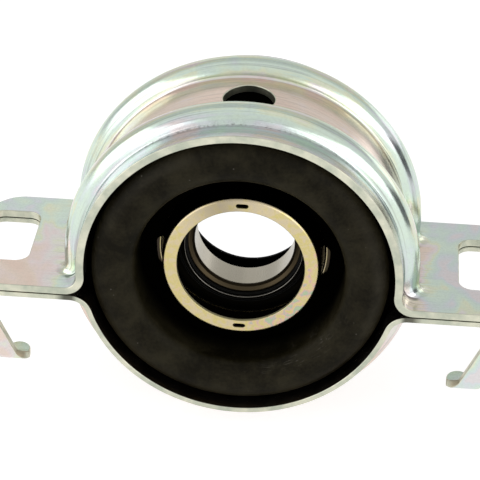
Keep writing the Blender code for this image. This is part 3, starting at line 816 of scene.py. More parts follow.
@dataclass
class PressedBracket:
    """One half of the bracket: a sheet with two beads, bent from the band into the wings.

    The sheet is laid out as a flat blank in (x, y), where the slots and the window are cut.
    The band part of the blank is then wrapped on the section.
    """

    half: Half
    wall: float
    fold_radius: float
    wing_height: float
    band_radius: float = 53.0
    bead_height: float = 5.6
    bead_half_width: float = 4.7
    bead_place: float = 17.1
    bead_root: float = 0.9
    depth: float = 60.0
    edge: float = 0.35
    seam: float = 66.6
    wing_end: float = 103.0
    corner_cut: float = 15.5
    window_place: float = -2.1
    window_radius: float = 8.8
    slot_middle: tuple[float, float] = (84.32, 2.5)
    slot_size: tuple[float, float] = (18.0, 33.0)
    slot_corner: float = 5.0
    hook_root: float = -25.0
    hook_inner: float = 88.3
    hook_relief: float = 1.5
    hook_columns: int = 10
    foot_height: float = -39.6
    foot_bend: float = 3.2
    foot_sides: tuple[float, float] = (77.2, 86.2)
    tongue_radius: float = 4.1
    tongue_length: float = 8.7
    pucker: float = 1.6
    pucker_place: float = 24.6
    pucker_width: float = 1.7

    @property
    def front(self) -> float:
        """Where the front edge's rounding starts."""
        return -self.depth / 2.0 + self.edge

    def bead_path(self) -> tuple[Array, Array]:
        """Places along the shaft and heights over the band, front to rear.

        A bead is the ellipse (w cos t, h sin t) with a quarter circle at each root.

        Returns:
            The places and the heights.
        """
        w, h, root = self.bead_half_width, self.bead_height, self.bead_root
        turn = np.linspace(0.0, math.pi / 2.0, 5)
        root_y = -w - root + root * np.sin(turn)
        root_h = root - root * np.cos(turn)
        start = math.asin(root / h)
        swing = np.linspace(start, math.pi - start, 17)[1:]
        y = np.concatenate([root_y, -w * np.cos(swing), -root_y[::-1][1:]])
        z = np.concatenate([root_h, h * np.sin(swing), root_h[::-1][1:]])
        ends = (self.front, -self.bead_place + y[0])
        lip = np.linspace(*ends, 7)[:-1]
        valley = np.linspace(-self.bead_place + y[-1], self.bead_place + y[0], 15)[1:-1]
        places = np.concatenate([lip, -self.bead_place + y, valley, self.bead_place + y,
                                 -lip[::-1]])
        zero = np.zeros_like
        heights = np.concatenate([zero(lip), z, zero(valley), z, zero(lip)])
        return places, heights

    def section(self, places: Array, heights: Array) -> tuple[Array, Array]:
        """Half sections from the crown to the seam, one row for each place.

        The band is an arc of radius R about the shaft. The fold is an arc of radius f whose
        centre lies R + f from the shaft and f above the wing, so it touches both. The fold
        widens round the pucker's place, where the bead runs out.

        Args:
            places: Places along the shaft, (m,).
            heights: Heights over the band, (m,).

        Returns:
            The x and z of each point, both (m, n).
        """
        radius = (self.band_radius + self.wall + heights)[:, None]
        swell = np.exp(-((np.abs(places) - self.pucker_place) / self.pucker_width) ** 2)
        swell = swell[:, None]
        fold = self.fold_radius + self.pucker * swell
        centre_z = self.wing_height + fold
        centre_x = np.sqrt((radius + fold) ** 2 - centre_z ** 2)
        lean = np.arctan2(centre_z, centre_x)
        crown = np.concatenate([np.linspace(0.0, 0.22, 13)[:-1], np.linspace(0.22, 1.0, 37)])
        sweep = crown[None, :] * (math.pi / 2.0 - lean)
        band_x, band_z = radius * np.sin(sweep), radius * np.cos(sweep)
        bend = np.linspace(0.0, 1.0, 11)[None, 1:] * (math.pi / 2.0 - lean)
        turn = math.pi + lean + bend
        fold_x = centre_x + fold * np.cos(turn)
        fold_z = centre_z + fold * np.sin(turn)
        share = np.linspace(0.0, 1.0, 6)[None, 1:]
        apron_x = fold_x[:, -1:] + share * (self.seam - fold_x[:, -1:])
        apron_z = np.broadcast_to(self.wing_height, apron_x.shape)
        x = np.concatenate([band_x, fold_x, apron_x], axis=1)
        z = np.concatenate([band_z, fold_z, apron_z], axis=1)
        return x, z

    def band(self) -> list[Patch]:
        """The band, its folds and the aprons up to the wings' seams, with the window if any.

        Returns:
            The patches.
        """
        places, heights = self.bead_path()
        x, z = self.section(places, heights)
        x = np.concatenate([-x[:, :0:-1], x], axis=1)
        z = np.concatenate([z[:, :0:-1], z], axis=1)
        y = np.broadcast_to(places[:, None], x.shape)
        rows, columns = x.shape
        points = np.stack([x, y, z], axis=-1).reshape(-1, 3)
        quads = grid_quads(rows, columns)
        if self.half is Half.STRAP:
            return [Patch(points, quads)]
        flat = np.flatnonzero((heights == 0.0) & (np.abs(places) < self.bead_place))
        middle, reach = columns // 2, 12
        inside, border = block_border(quads, columns, (flat[0], flat[-1]),
                                      (middle - reach, middle + reach))
        window, ring = ring_patch(points[border][:, :2], np.array([0.0, self.window_place]),
                                  round_radius(self.window_radius + self.edge), 5)
        height = np.sqrt((self.band_radius + self.wall) ** 2 - window[:, 0] ** 2)
        return [Patch(points, quads[~inside]), Patch(np.column_stack([window, height]), ring)]

    def wing_loop(self) -> Array:
        """The right wing's outline in the blank, anticlockwise from the front of its seam.

        Returns:
            The outline's points, (n, 2).
        """
        places, _ = self.bead_path()
        e = self.edge
        end, rear = self.wing_end - e, self.depth / 2.0 - e
        notch = self.hook_inner - self.hook_relief - e
        root = self.hook_root if self.half is Half.ARCH else self.hook_root + 0.3 + e
        inner = self.hook_inner + e if self.half is Half.ARCH else notch + 1.0
        cut = self.corner_cut + e * (2.0 - math.sqrt(2.0))
        front = np.array([(self.seam, self.front), (notch, self.front), (notch, root),
                          (inner, root)])
        front = stepped(rounded(front, [0.0, 0.8, 0.5, 0.0], 3, closed=False), 1.3)
        hook = np.column_stack([np.linspace(inner, end, self.hook_columns + 1),
                                np.full(self.hook_columns + 1, root)])
        back = np.array([(end, root), (end, rear - cut), (end - cut, rear), (self.seam, rear)])
        back = stepped(rounded(back, [0.0, 9.0, 12.0, 0.0], 6, closed=False), 1.4)
        seam = np.column_stack([np.full(len(places), self.seam), places[::-1]])
        return np.concatenate([front[:-1], hook[:-1], back[:-1], seam[:-1]])

    def wings(self) -> list[Patch]:
        """Both wings as rings of quads round their slots, the left one mirrored.

        Returns:
            The patches.
        """
        size = (self.slot_size[0] / 2.0 + self.edge, self.slot_size[1] / 2.0 + self.edge)
        hole = rounded_box_radius(*size, self.slot_corner + self.edge)
        flat, quads = ring_patch(self.wing_loop(), np.array(self.slot_middle), hole, 4)
        right = np.column_stack([flat, np.full(len(flat), self.wing_height)])
        left = right * (-1.0, 1.0, 1.0)
        return [Patch(right, quads), Patch(left, quads[:, ::-1])]

    def hooks(self) -> list[Patch]:
        """Both hooks: a ribbon over the front bend, down the leg and out along the tongue.

        Returns:
            The patches.
        """
        front = -self.depth / 2.0
        bend = self.hook_root - front
        turn = np.linspace(0.0, math.pi / 2.0, 9)
        bend_y = self.hook_root - bend * np.sin(turn)
        bend_z = self.wing_height - bend + bend * np.cos(turn)
        foot, curl_r, tip_r = self.foot_height, self.foot_bend, self.tongue_radius
        foot_in, foot_out = self.foot_sides
        fall = np.linspace(0.0, 1.0, 9)[1:]
        leg_z = bend_z[-1] + fall * (foot + curl_r - bend_z[-1])
        curl = np.linspace(0.0, math.pi / 2.0, 7)[1:]
        curl_y = front + curl_r - curl_r * np.cos(curl)
        curl_z = foot + curl_r - curl_r * np.sin(curl)
        swing = np.radians([0.0, 12.0, 24.0, 36.0, 48.0, 60.0, 70.0, 79.0, 86.0])
        tip_y = front + self.tongue_length - tip_r + tip_r * np.sin(swing)
        y = np.concatenate([bend_y, np.full(len(fall), front), curl_y, tip_y])
        z = np.concatenate([bend_z, leg_z, curl_z, np.full(len(swing), foot)])
        share = np.linspace(0.0, 1.0, len(curl) + 1)[1:]
        inner = np.concatenate([
            np.full(len(bend_y), self.hook_inner),
            self.hook_inner + fall * (foot_in - self.hook_inner),
            foot_in - share * tip_r, foot_in - tip_r * np.cos(swing)]) + self.edge
        outer = np.concatenate([
            np.full(len(bend_y), self.wing_end),
            self.wing_end + fall * (foot_out - self.wing_end),
            foot_out + share * (foot_in + tip_r - foot_out),
            foot_in + tip_r * np.cos(swing)]) - self.edge
        ahead = np.linspace(0.0, 1.0, self.hook_columns + 1)
        x = inner[:, None] + ahead * (outer - inner)[:, None]
        points = np.stack(np.broadcast_arrays(x, y[:, None], z[:, None]), axis=-1).reshape(-1, 3)
        quads = grid_quads(len(y), self.hook_columns + 1)[:, ::-1]
        return [Patch(points, quads), Patch(points * (-1.0, 1.0, 1.0), quads[:, ::-1])]

    def build(self, name: str, finish: Material) -> Object:
        """Weld the patches, give them their wall and make the piece that replaces the node.

        Args:
            name: The node that it replaces.
            finish: Its material.

        Returns:
            The piece.
        """
        patches = self.band() + self.wings()
        if self.half is Half.ARCH:
            patches += self.hooks()
        sheet = weld(patches)
        if self.half is Half.STRAP:
            sheet = Patch(sheet.points * (1.0, 1.0, -1.0), sheet.quads[:, ::-1])
        solid = thick_sheet(sheet, self.wall, self.edge)
        return make_piece("pressed_" + name, solid, finish, Body.HOUSING, "plated_steel", name,
                          film=self.film(solid.points), **self.marks(solid))

    def marks(self, solid: Solid) -> dict[str, Array]:
        """Where the finish is patchy, drawn and worn, and where shade is painted.

        Wear follows the beads' outer feet near the top. Painted shade darkens the creases at
        the beads' ends and the lower half's sheared edge at its folds.

        Args:
            solid: The sheet with its wall.

        Returns:
            The masks by name.
        """
        x, y, z = np.abs(solid.points[:, 0]), np.abs(solid.points[:, 1]), solid.points[:, 2]
        wing = smooth(58.0, 70.0, x)
        foot = self.bead_half_width + 0.6 * self.bead_root
        wear = np.exp(-((y - self.bead_place - foot) / 0.35) ** 2) * smooth(46.0, 30.0, x)
        if self.half is Half.ARCH:
            low = smooth(12.0, -5.0, z) * smooth(62.5, 60.5, x)
            # painted shade in the creases where the beads end at the folds
            grime = 0.6 * low * np.exp(-((np.abs(y - self.bead_place) - foot) / 0.40) ** 2)
        else:
            # painted shade along the sheared edge at the folds
            grime = 0.8 * solid.cut * smooth(55.6, 57.0, x) * smooth(63.0, 60.0, x)
        return {"mottle": 0.5 + 0.8 * wing, "drawn": 1.0 - 0.85 * wing, "wear": 0.6 * wear,
                "grime": grime}

    def film(self, points: Array) -> Array:
        """How thick the plating's film is: it grows from the valley to the lips.

        It dips on the beads' crowns. The left wing's film thins towards the front, and the
        right wing's has a thin band.

        Args:
            points: Points of the sheet, (n, 3).

        Returns:
            The thickness at each point, from 0 to 1.
        """
        x, y, z = points.T
        stops = (0.0, self.bead_place - 5.8, self.bead_place - 4.4, self.bead_place - 2.0,
                 self.bead_place, self.bead_place + 3.0, self.bead_place + 5.5, self.depth / 2.0)
        band = np.interp(np.abs(y), stops, (0.10, 0.14, 0.56, 0.60, 0.47, 0.66, 0.80, 0.92))
        if self.half is Half.STRAP:
            band = 0.12 + 0.2 * band * smooth(-20.0, 20.0, x)
        left = 0.34 + 0.22 * smooth(4.0, 24.0, y) - 0.18 * smooth(-6.0, -24.0, y)
        right = 0.54 - 0.28 * np.exp(-((y - 12.0) / 5.0) ** 2)
        sheet = np.where(x < 0.0, left, right)
        wing = smooth(58.0, 70.0, np.abs(x))
        hook = smooth(-12.5, -16.0, z) * wing
        return band + wing * (sheet - band) + hook * (0.54 - sheet)


# Cushion


@dataclass
class Cushion:
    """Rubber cushion: a turned section, opened at the pockets and filled into the corners.

    The folds are the brackets' fold circles, as (x, z) and radius, with a little clearance.
    """

    bore: float = 33.6
    outer: float = 52.7
    rib_place: float = 17.1
    rib_half_width: float = 1.4
    rib_height: float = 4.4
    lip: float = 28.65
    web: float = 1.3
    fit: float = 0.3
    pocket_angle: float = 12.6
    pocket_middle: float = -4.5
    pocket_reach: float = 31.0
    corner_angle: float = -9.7
    corner_reach: float = 60.4
    corner_spread: float = 12.0
    folds: tuple[tuple[Sequence[float], float], ...] = (
        ((59.917, -3.2), 7.3), ((58.106, -18.5), 8.3))
    roll_middle: tuple[float, float] = (43.55, 24.0)
    roll_size: tuple[float, float] = (7.5, 4.6)
    turns: int = 240

    def half_section(self, sleeve_end: float) -> Array:
        """Corner points and radii from the outer wall to the bore, for a side at +Y.

        Args:
            sleeve_end: How far the sleeve reaches on this side.

        Returns:
            Radius, place and rounding of each corner, (n, 3).
        """
        floor = sleeve_end + self.fit + self.web
        sweep = np.radians(np.linspace(4.0, 176.0, 25))
        (radius, place), (width, height) = self.roll_middle, self.roll_size
        roll = np.column_stack([radius + width * np.cos(sweep),
                                place + height * np.sin(sweep) ** 0.85,
                                np.full(len(sweep), 0.5)])
        rim = np.array([(self.outer, 19.3, 0.4), (51.5, 19.6, 0.5)])
        groove = np.array([
            (35.6, floor + 5.0, 1.5), (35.2, floor, 1.7), (self.lip, floor, 0.4),
            (self.lip, sleeve_end + self.fit, 0.2), (self.bore, sleeve_end + self.fit, 0.2)])
        return np.concatenate([rim, roll, groove])

    def rib(self, middle: float) -> Array:
        """A rib on the outer wall as half an ellipse, from rear to front.

        Args:
            middle: Its place along the shaft.

        Returns:
            Radius, place and rounding of each corner, (n, 3).
        """
        sweep = np.linspace(0.0, math.pi, 9)
        return np.column_stack([self.outer + self.rib_height * np.sin(sweep),
                                middle + self.rib_half_width * np.cos(sweep),
                                np.full(len(sweep), 0.1)])

    def section(self) -> Array:
        """The whole closed section, with its corners rounded.

        Returns:
            Points of (radius, place), (n, 2).
        """
        rear = self.half_section(SLEEVE_ENDS[1])
        front = self.half_section(-SLEEVE_ENDS[0]) * (1.0, -1.0, 1.0)
        rows = np.concatenate([rear, front[::-1], self.rib(-self.rib_place)[::-1],
                               self.rib(self.rib_place)[::-1]])
        return outline(rows, 4)

    def corner_limit(self, angle: Array) -> Array:
        """How far the rubber reaches at each angle without meeting the bracket's folds.

        A ray meets a fold's circle at t = d.c - sqrt((d.c)^2 - |c|^2 + r^2).

        Args:
            angle: Angles round the shaft between -pi and pi, (m,).

        Returns:
            The largest radius at each angle, (m,).
        """
        d = np.stack([np.abs(np.cos(angle)), np.sin(angle)], axis=-1)
        limit = np.full(len(angle), self.corner_reach)
        for centre, radius in self.folds:
            along = d @ np.array(centre)
            under = along ** 2 - centre[0] ** 2 - centre[1] ** 2 + radius ** 2
            meets = along - np.sqrt(np.maximum(under, 0.0))
            limit = np.where(under > 0.0, np.minimum(limit, meets), limit)
        near = np.abs(np.degrees(angle) - self.corner_angle) < self.corner_spread
        far = np.abs(180.0 - np.degrees(np.abs(angle)) + self.corner_angle) < self.corner_spread
        return np.where(near | (far & (angle < 0.0)), np.maximum(limit, self.outer), self.outer)

    def shape(self, section: Array, angle: Array) -> Array:
        """Open the front pockets and push the outer wall into the corners.

        Just under three and nine o'clock the web's edge bows outward along half an ellipse,
        which bares the sleeve's end. The outer wall between the rim grooves moves out to
        the corner limit.

        Args:
            section: Section points at each angle, (n, m, 2).
            angle: Angles round the shaft, (m,).

        Returns:
            The moved points, (n, m, 2).
        """
        radius, place = section[..., 0], section[..., 1]
        off = np.degrees(np.arctan2(np.sin(angle), np.abs(np.cos(angle)))) - self.pocket_middle
        bow = np.sqrt(np.maximum(1.0 - (off / self.pocket_angle) ** 2, 0.0))
        reach = self.lip + (self.pocket_reach - self.lip) * bow
        web = (radius < self.pocket_reach) & (place < -9.0)
        radius = np.where(web, np.maximum(radius, reach), radius)
        turned_angle = np.arctan2(np.sin(angle), np.cos(angle))
        limit = self.corner_limit(turned_angle)
        wall = (radius >= self.outer - 0.6) & (np.abs(place) < 19.7)
        spread = np.where(wall, np.maximum(radius, limit), radius)
        return np.stack([spread, place], axis=-1)

    def angles(self) -> Array:
        """Even angles, with closer ones at the two corners and at the pockets' ends.

        Returns:
            The angles in rising order, (m,).
        """
        even = np.linspace(-math.pi, math.pi, self.turns, endpoint=False)
        near = np.radians(self.corner_angle + np.linspace(-8.0, 8.0, 49))
        ends = np.radians(np.concatenate([
            self.pocket_middle + side * self.pocket_angle + np.linspace(-1.4, 1.4, 9)
            for side in (-1.0, 1.0)]))
        extra = np.concatenate([near, ends])
        every = np.concatenate([even, extra, math.pi - extra])
        every = np.unique(np.round(np.arctan2(np.sin(every), np.cos(every)), 5))
        keep = np.concatenate([[True], np.diff(every) > 2e-3])
        return every[keep]

    def build(self, finish: Material) -> Object:
        """Make the piece that replaces the plain cushion.

        Args:
            finish: Its material.

        Returns:
            The piece.
        """
        solid = turned(self.section(), self.turns, self.shape, self.angles())
        radius = np.hypot(solid.points[:, 0], solid.points[:, 2])
        depth = np.abs(solid.points[:, 1])
        # painted shade in the grooves near the middle, in the rim groove and on the outer wall
        deep = np.maximum(smooth(22.5, 13.0, depth), smooth(50.8, 51.3, radius))
        angle = np.degrees(np.arctan2(solid.points[:, 2], solid.points[:, 0]))
        scuff = np.exp(-((angle + 52.0) / 24.0) ** 2 - ((radius - 38.5) / 3.0) ** 2)
        # painted sheen on the roll's outer shoulder, at the upper left and on the right
        shoulder = np.exp(-((radius - 47.4) / 1.7) ** 2)
        dust = 0.45 * shoulder * (np.exp(-((angle - 135.0) / 24.0) ** 2)
                                  + np.exp(-((angle - 4.0) / 30.0) ** 2))
        dust = dust * smooth(-20.0, -24.0, solid.points[:, 1])
        return make_piece("moulded_cushion", solid, finish, Body.HOUSING, "black_rubber",
                          "rubber_cushion", deep=deep, scuff=scuff, dust=dust,
                          arc=0.18 * np.radians(angle) * radius, reach=1.6 * radius)


# Covers and bearing


@dataclass
class DustCover:
    """Pressed cover: a flange, a tapered wall, a rounded shoulder and a face with two drains."""

    side: Side
    flange_place: float
    face_place: float = 21.1
    face_radius: float = 26.0
    hole_radius: float = 22.0
    wall_radius: float = 28.8
    flange_radius: float = 31.0
    shoulder: float = 1.0
    wall: float = 1.4
    edge: float = 0.3
    drain: tuple[float, float] = (4.4, 1.7)
    drain_radius: float = 24.1
    turns: int = 180

    def outline(self) -> Array:
        """The outer face's line from the flange's rim to the hole.

        Returns:
            Points of (radius, place), (n, 2).
        """
        corners = [(self.flange_radius - self.edge, self.flange_place),
                   (self.wall_radius, self.flange_place),
                   (self.face_radius + self.shoulder, self.face_place),
                   (self.hole_radius + self.edge, self.face_place)]
        bent = rounded(np.array(corners), [0.0, 1.2, 1.4, 0.0], 8, closed=False)
        face = stepped(bent[-2:], 0.55)
        return np.concatenate([stepped(bent[:-2], 2.0), face])

    def build(self, name: str, slot: str, finish: Material) -> Object:
        """Turn the outline, cut the two drains in the face and give it its wall.

        Args:
            name: The node that it replaces.
            slot: The record's material slot.
            finish: Its material.

        Returns:
            The piece.
        """
        line = self.outline()
        angle = np.linspace(0.0, 2.0 * math.pi, self.turns, endpoint=False)
        r, y = line[:, :1], np.broadcast_to(line[:, 1:], (len(line), self.turns))
        points = np.stack([r * np.cos(angle), -y, r * np.sin(angle)], axis=-1).reshape(-1, 3)
        quads = grid_quads(len(line), self.turns, closed_columns=True)
        flat = np.flatnonzero(np.abs(line[:, 1] - self.face_place) < 1e-6)
        half_length, half_height = ((size + self.edge) / 2.0 for size in self.drain)
        hole = rounded_box_radius(half_length, half_height, half_height - 0.01)
        reach = 5
        patches = []
        inside = np.zeros(len(quads), bool)
        for up, quarter in ((1.0, self.turns // 4), (-1.0, 3 * self.turns // 4)):
            block, border = block_border(quads, self.turns, (flat[1], flat[-2]),
                                         (quarter - reach, quarter + reach))
            inside |= block
            centre = np.array([0.0, up * self.drain_radius])
            drain, ring = ring_patch(points[border][:, [0, 2]], centre, hole, 3)
            patches.append(Patch(np.insert(drain, 1, -self.face_place, axis=1), ring))
        sheet = weld([Patch(points, quads[~inside])] + patches)
        normals = vertex_normals(sheet.points, sheet.quads)
        wide = np.abs(sheet.points[:, 1] + self.face_place) < 1e-6
        if normals[wide][:, 1].mean() > 0.0:
            sheet = Patch(sheet.points, sheet.quads[:, ::-1])
        if self.side is Side.REAR:
            sheet = Patch(sheet.points * (1.0, -1.0, 1.0), sheet.quads[:, ::-1])
        solid = thick_sheet(sheet, self.wall, self.edge)
        round_shaft = np.degrees(np.arctan2(solid.points[:, 2], solid.points[:, 0]))
        stops = (-180.0, -100.0, -60.0, -40.0, -15.0, 0.0, 40.0, 90.0, 130.0, 180.0)
        film = np.interp(round_shaft, stops,
                         (0.45, 0.32, 0.74, 0.84, 0.70, 0.58, 0.30, 0.10, 0.18, 0.45))
        mottle = np.interp(round_shaft, (-110.0, -75.0, -20.0, 10.0), (0.6, 1.0, 1.0, 0.6))
        outward = (solid.normals * solid.points * (1.0, 0.0, 1.0)).sum(axis=1) > 0.0
        # painted shade: all but the face goes nearly black, the outer side more than the inner
        grime = np.where(outward, 0.99, 0.75) * smooth(20.95, 20.5, np.abs(solid.points[:, 1]))
        # painted shadow of the roll on the face, near the top
        grime = np.maximum(grime, 0.35 * np.exp(-((round_shaft - 108.0) / 20.0) ** 2))
        return make_piece("pressed_" + name, solid, finish, Body.HOUSING, slot, name, film=film,
                          mottle=mottle, grime=grime)


@dataclass
class SlotShadePads:
    """Near-black rubber pads behind a cover's slots: painted shade, so that the slots show black.
    """

    side: Side
    place: float = 19.2
    radius: float = 24.1
    half_width: float = 3.6
    half_height: float = 1.7
    thickness: float = 1.2

    def build(self, finish: Material) -> None:
        """Make both pads: each is a stack of rounded outlines, drawn in at its two ends.

        Args:
            finish: Their material.
        """
        angle = np.linspace(0.0, 2.0 * math.pi, 48, endpoint=False)
        reach = rounded_box_radius(self.half_width, self.half_height, 1.2)(angle)
        rise = np.linspace(-math.pi / 2.0, math.pi / 2.0, 9)
        layer = 0.55 + 0.45 * np.cos(rise) ** 0.3
        depth = self.side.value * self.place + self.thickness / 2.0 * np.sin(rise)
        x = np.outer(layer, reach * np.cos(angle))
        z = np.outer(layer, reach * np.sin(angle))
        y = np.broadcast_to(depth[:, None], x.shape)
        centres = np.array([[0.0, depth[0], 0.0], [0.0, depth[-1], 0.0]])
        points = np.concatenate([np.stack([x, y, z], axis=-1).reshape(-1, 3), centres])
        rows, columns = x.shape
        sides = grid_quads(rows, columns, closed_columns=True)
        ring = np.arange(0, columns, 2)
        fan = np.stack([ring, ring + 1, (ring + 2) % columns], axis=1)
        low = np.insert(fan, 3, rows * columns, axis=1)
        high = np.insert(fan[:, ::-1] + (rows - 1) * columns, 3, rows * columns + 1, axis=1)
        quads = np.concatenate([sides, low, high])
        end = self.side.name.lower()
        for place, up in (("upper", 1.0), ("lower", -1.0)):
            placed = points + (0.0, 0.0, up * self.radius)
            solid = Solid(placed, quads, vertex_normals(placed, quads), np.zeros(len(placed)))
            # painted shade: the deep mask is 1 all over
            make_piece(f"{end}_{place}_slot_shade_pad", solid, finish, Body.HOUSING, "black_rubber",
                       deep=np.ones(len(placed)))


@dataclass
class Sleeve:
    """Sleeve round the bearing, with its ends rolled inward over the covers' flanges."""

    outer: float = 33.3
    inner: float = 31.3
    lip: float = 29.3
    edge: float = 28.75
    flat: float = 30.3
    lip_wall: float = 1.8
    ends: tuple[float, float] = SLEEVE_ENDS
    turns: int = 180

    def build(self, finish: Material) -> Object:
        """Turn the section, with wide radii on the rolled corners.

        Args:
            finish: Its material.

        Returns:
            The piece.
        """
        front, rear = self.ends
        rows = np.array([
            (self.outer, front + 1.9, 0.9), (self.flat, front, 0.9), (self.lip, front, 0.0),
            (self.edge, front, 0.15), (self.lip, front + self.lip_wall, 0.6),
            (self.inner, front + self.lip_wall, 0.3), (self.inner, rear - self.lip_wall, 0.3),
            (self.lip, rear - self.lip_wall, 0.6), (self.edge, rear, 0.15),
            (self.lip, rear, 0.0), (self.flat, rear, 0.9), (self.outer, rear - 1.9, 0.9)])
        solid = turned(finer(outline(rows, 6), 0.4), self.turns)
        radius = np.hypot(solid.points[:, 0], solid.points[:, 2])
        # painted shade: all of the sleeve but its rolled inner edge is darkened almost to black,
        # for the shade in the pockets
        return make_piece("rolled_bearing_sleeve", solid, finish, Body.HOUSING, "golden_plating",
                          "bearing_sleeve", film=0.2 + 0.54 * smooth(29.2, 29.4, radius),
                          mottle=np.full(len(radius), 0.4),
                          grime=0.965 * smooth(28.95, 29.2, radius))


@dataclass
class Bearing:
    """The bearing's dressed pieces: the inner ring, and each seal with its lip's ring."""

    middle: float = 1.4
    pitch_radius: float = 24.25
    ball_radius: float = 4.25
    turns: int = 180

    def inner_ring(self, finish: Material) -> Object:
        """The inner ring with its chamfered bore, its lands and its race.

        Args:
            finish: Its material.

        Returns:
            The piece.
        """
        rows = [(17.5, 5.2, 0.35), (18.25, 6.3, 0.35), (19.3, 7.0, 0.6), (20.4, 7.0, 0.3),
                (20.4, 5.5, 0.3), (21.6, 5.5, 0.3)]
        sweep = np.radians(np.linspace(128.0, 232.0, 13))
        race = [(self.pitch_radius + self.ball_radius * math.cos(angle),
                 self.ball_radius * math.sin(angle), 0.1) for angle in sweep]
        section = np.array(rows + race + [(r, -y, f) for r, y, f in rows[::-1]])
        solid = turned(finer(outline(section, 3) + (0.0, self.middle), 0.3), self.turns)
        radius = np.hypot(solid.points[:, 0], solid.points[:, 2])
        out = np.abs(solid.points[:, 1] - self.middle)
        scale = smooth(5.22, 5.4, out) * smooth(17.5, 17.7, radius) * smooth(20.32, 20.15, radius)
        return make_piece("ground_inner_ring", solid, finish, Body.INNER_RACE, "ground_steel",
                          "bearing_inner_ring", scale=scale)

    def seal(self, name: str, side: Side, finish: Material) -> Object:
        """A seal with a raised lip and a low rib outside it.

        Args:
            name: The node that it replaces.
            side: The end of the bearing that it closes.
            finish: Its material.

        Returns:
            The piece.
        """
        rows = np.array([
            (20.9, 5.8, 0.1), (20.9, 7.25, 0.1), (19.6, 7.3, 0.1), (19.8, 7.8, 0.15),
            (20.5, 7.9, 0.2), (20.5, 9.0, 0.1), (20.9, 9.0, 0.1), (21.2, 7.8, 0.3),
            (22.7, 7.6, 0.3), (23.0, 8.2, 0.2), (23.5, 8.2, 0.2), (23.9, 7.4, 0.3),
            (28.05, 6.8, 0.2), (28.05, 5.8, 0.2)])
        line = outline(rows, 4) * (1.0, float(side.value)) + (0.0, self.middle)
        return make_piece("lipped_" + name, turned(line, self.turns), finish, Body.HOUSING,
                          "seal_rubber", name)

    def lip_ring(self, side: Side, finish: Material) -> Object:
        """The thin bright ring that stiffens a seal's raised lip.

        Args:
            side: The seal's end of the bearing.
            finish: Its material.

        Returns:
            The piece.
        """
        rows = np.array([(20.52, 8.7, 0.05), (20.88, 8.7, 0.05), (20.88, 9.35, 0.12),
                         (20.70, 9.5, 0.12), (20.52, 9.35, 0.12)])
        line = outline(rows, 3) * (1.0, float(side.value)) + (0.0, self.middle)
        solid = turned(line, 2 * self.turns)
        return make_piece(side.name.lower() + "_seal_lip_ring", solid, finish, Body.HOUSING,
                          "polished_steel")


# Studio


def card(name: str, points: Sequence[tuple[float, float, float]], paint: str, scale: float,
         greys: tuple[Colour, Colour], **values: object) -> Object:
    """A flat matt card with faint mottling.

    Args:
        name: Name of the object.
        points: Its four corners in metres.
        paint: Name of its material.
        scale: Scale of the mottling.
        greys: Its darkest and its lightest colour.
        values: More inputs of its shader.

    Returns:
        The new object.
    """
    mesh = bpy.data.meshes.new(name)
    mesh.from_pydata(points, [], [(0, 1, 2, 3)])
    shader = Shader(paint)
    mottle = shader.noise(shader.place, scale, 2.0)
    shader.set(Base_Color=shader.ramp(mottle, ((0.3, greys[0]), (0.7, greys[1]))),
               Roughness=0.9, Specular_IOR_Level=0.0, **values)
    mesh.materials.append(shader.material)
    plane = bpy.data.objects.new(name, mesh)
    bpy.context.scene.collection.objects.link(plane)
    return plane


@dataclass(frozen=True)
class Softbox:
    """One softbox as the part sees it, with all angles in degrees.

    Azimuth is measured from the rear towards +X, and elevation from the floor up. A
    positive roll lowers the end on the part's right. The distance is in metres.
    """

    name: str
    azimuth: float
    elevation: float
    half_width: float
    half_height: float
    radiance: float
    roll: float = 0.0
    distance: float = 1.3

    def build(self) -> None:
        """Add the light, aimed at the origin: its power is 4 * area * radiance."""
        a, e = math.radians(self.azimuth), math.radians(self.elevation)
        towards = Vector((math.sin(a) * math.cos(e), math.cos(a) * math.cos(e), math.sin(e)))
        lamp = bpy.data.lights.new(self.name, "AREA")
        lamp.shape = "RECTANGLE"
        lamp.size = 2.0 * self.distance * math.tan(math.radians(self.half_width))
        lamp.size_y = 2.0 * self.distance * math.tan(math.radians(self.half_height))
        lamp.energy = 4.0 * lamp.size * lamp.size_y * self.radiance
        light = bpy.data.objects.new(self.name, lamp)
        light.location = towards * self.distance
        roll = Quaternion((0.0, 0.0, 1.0), math.radians(self.roll))
        light.rotation_euler = (towards.to_track_quat("Z", "Y") @ roll).to_euler()
        light.visible_camera = False
        bpy.context.scene.collection.objects.link(light)


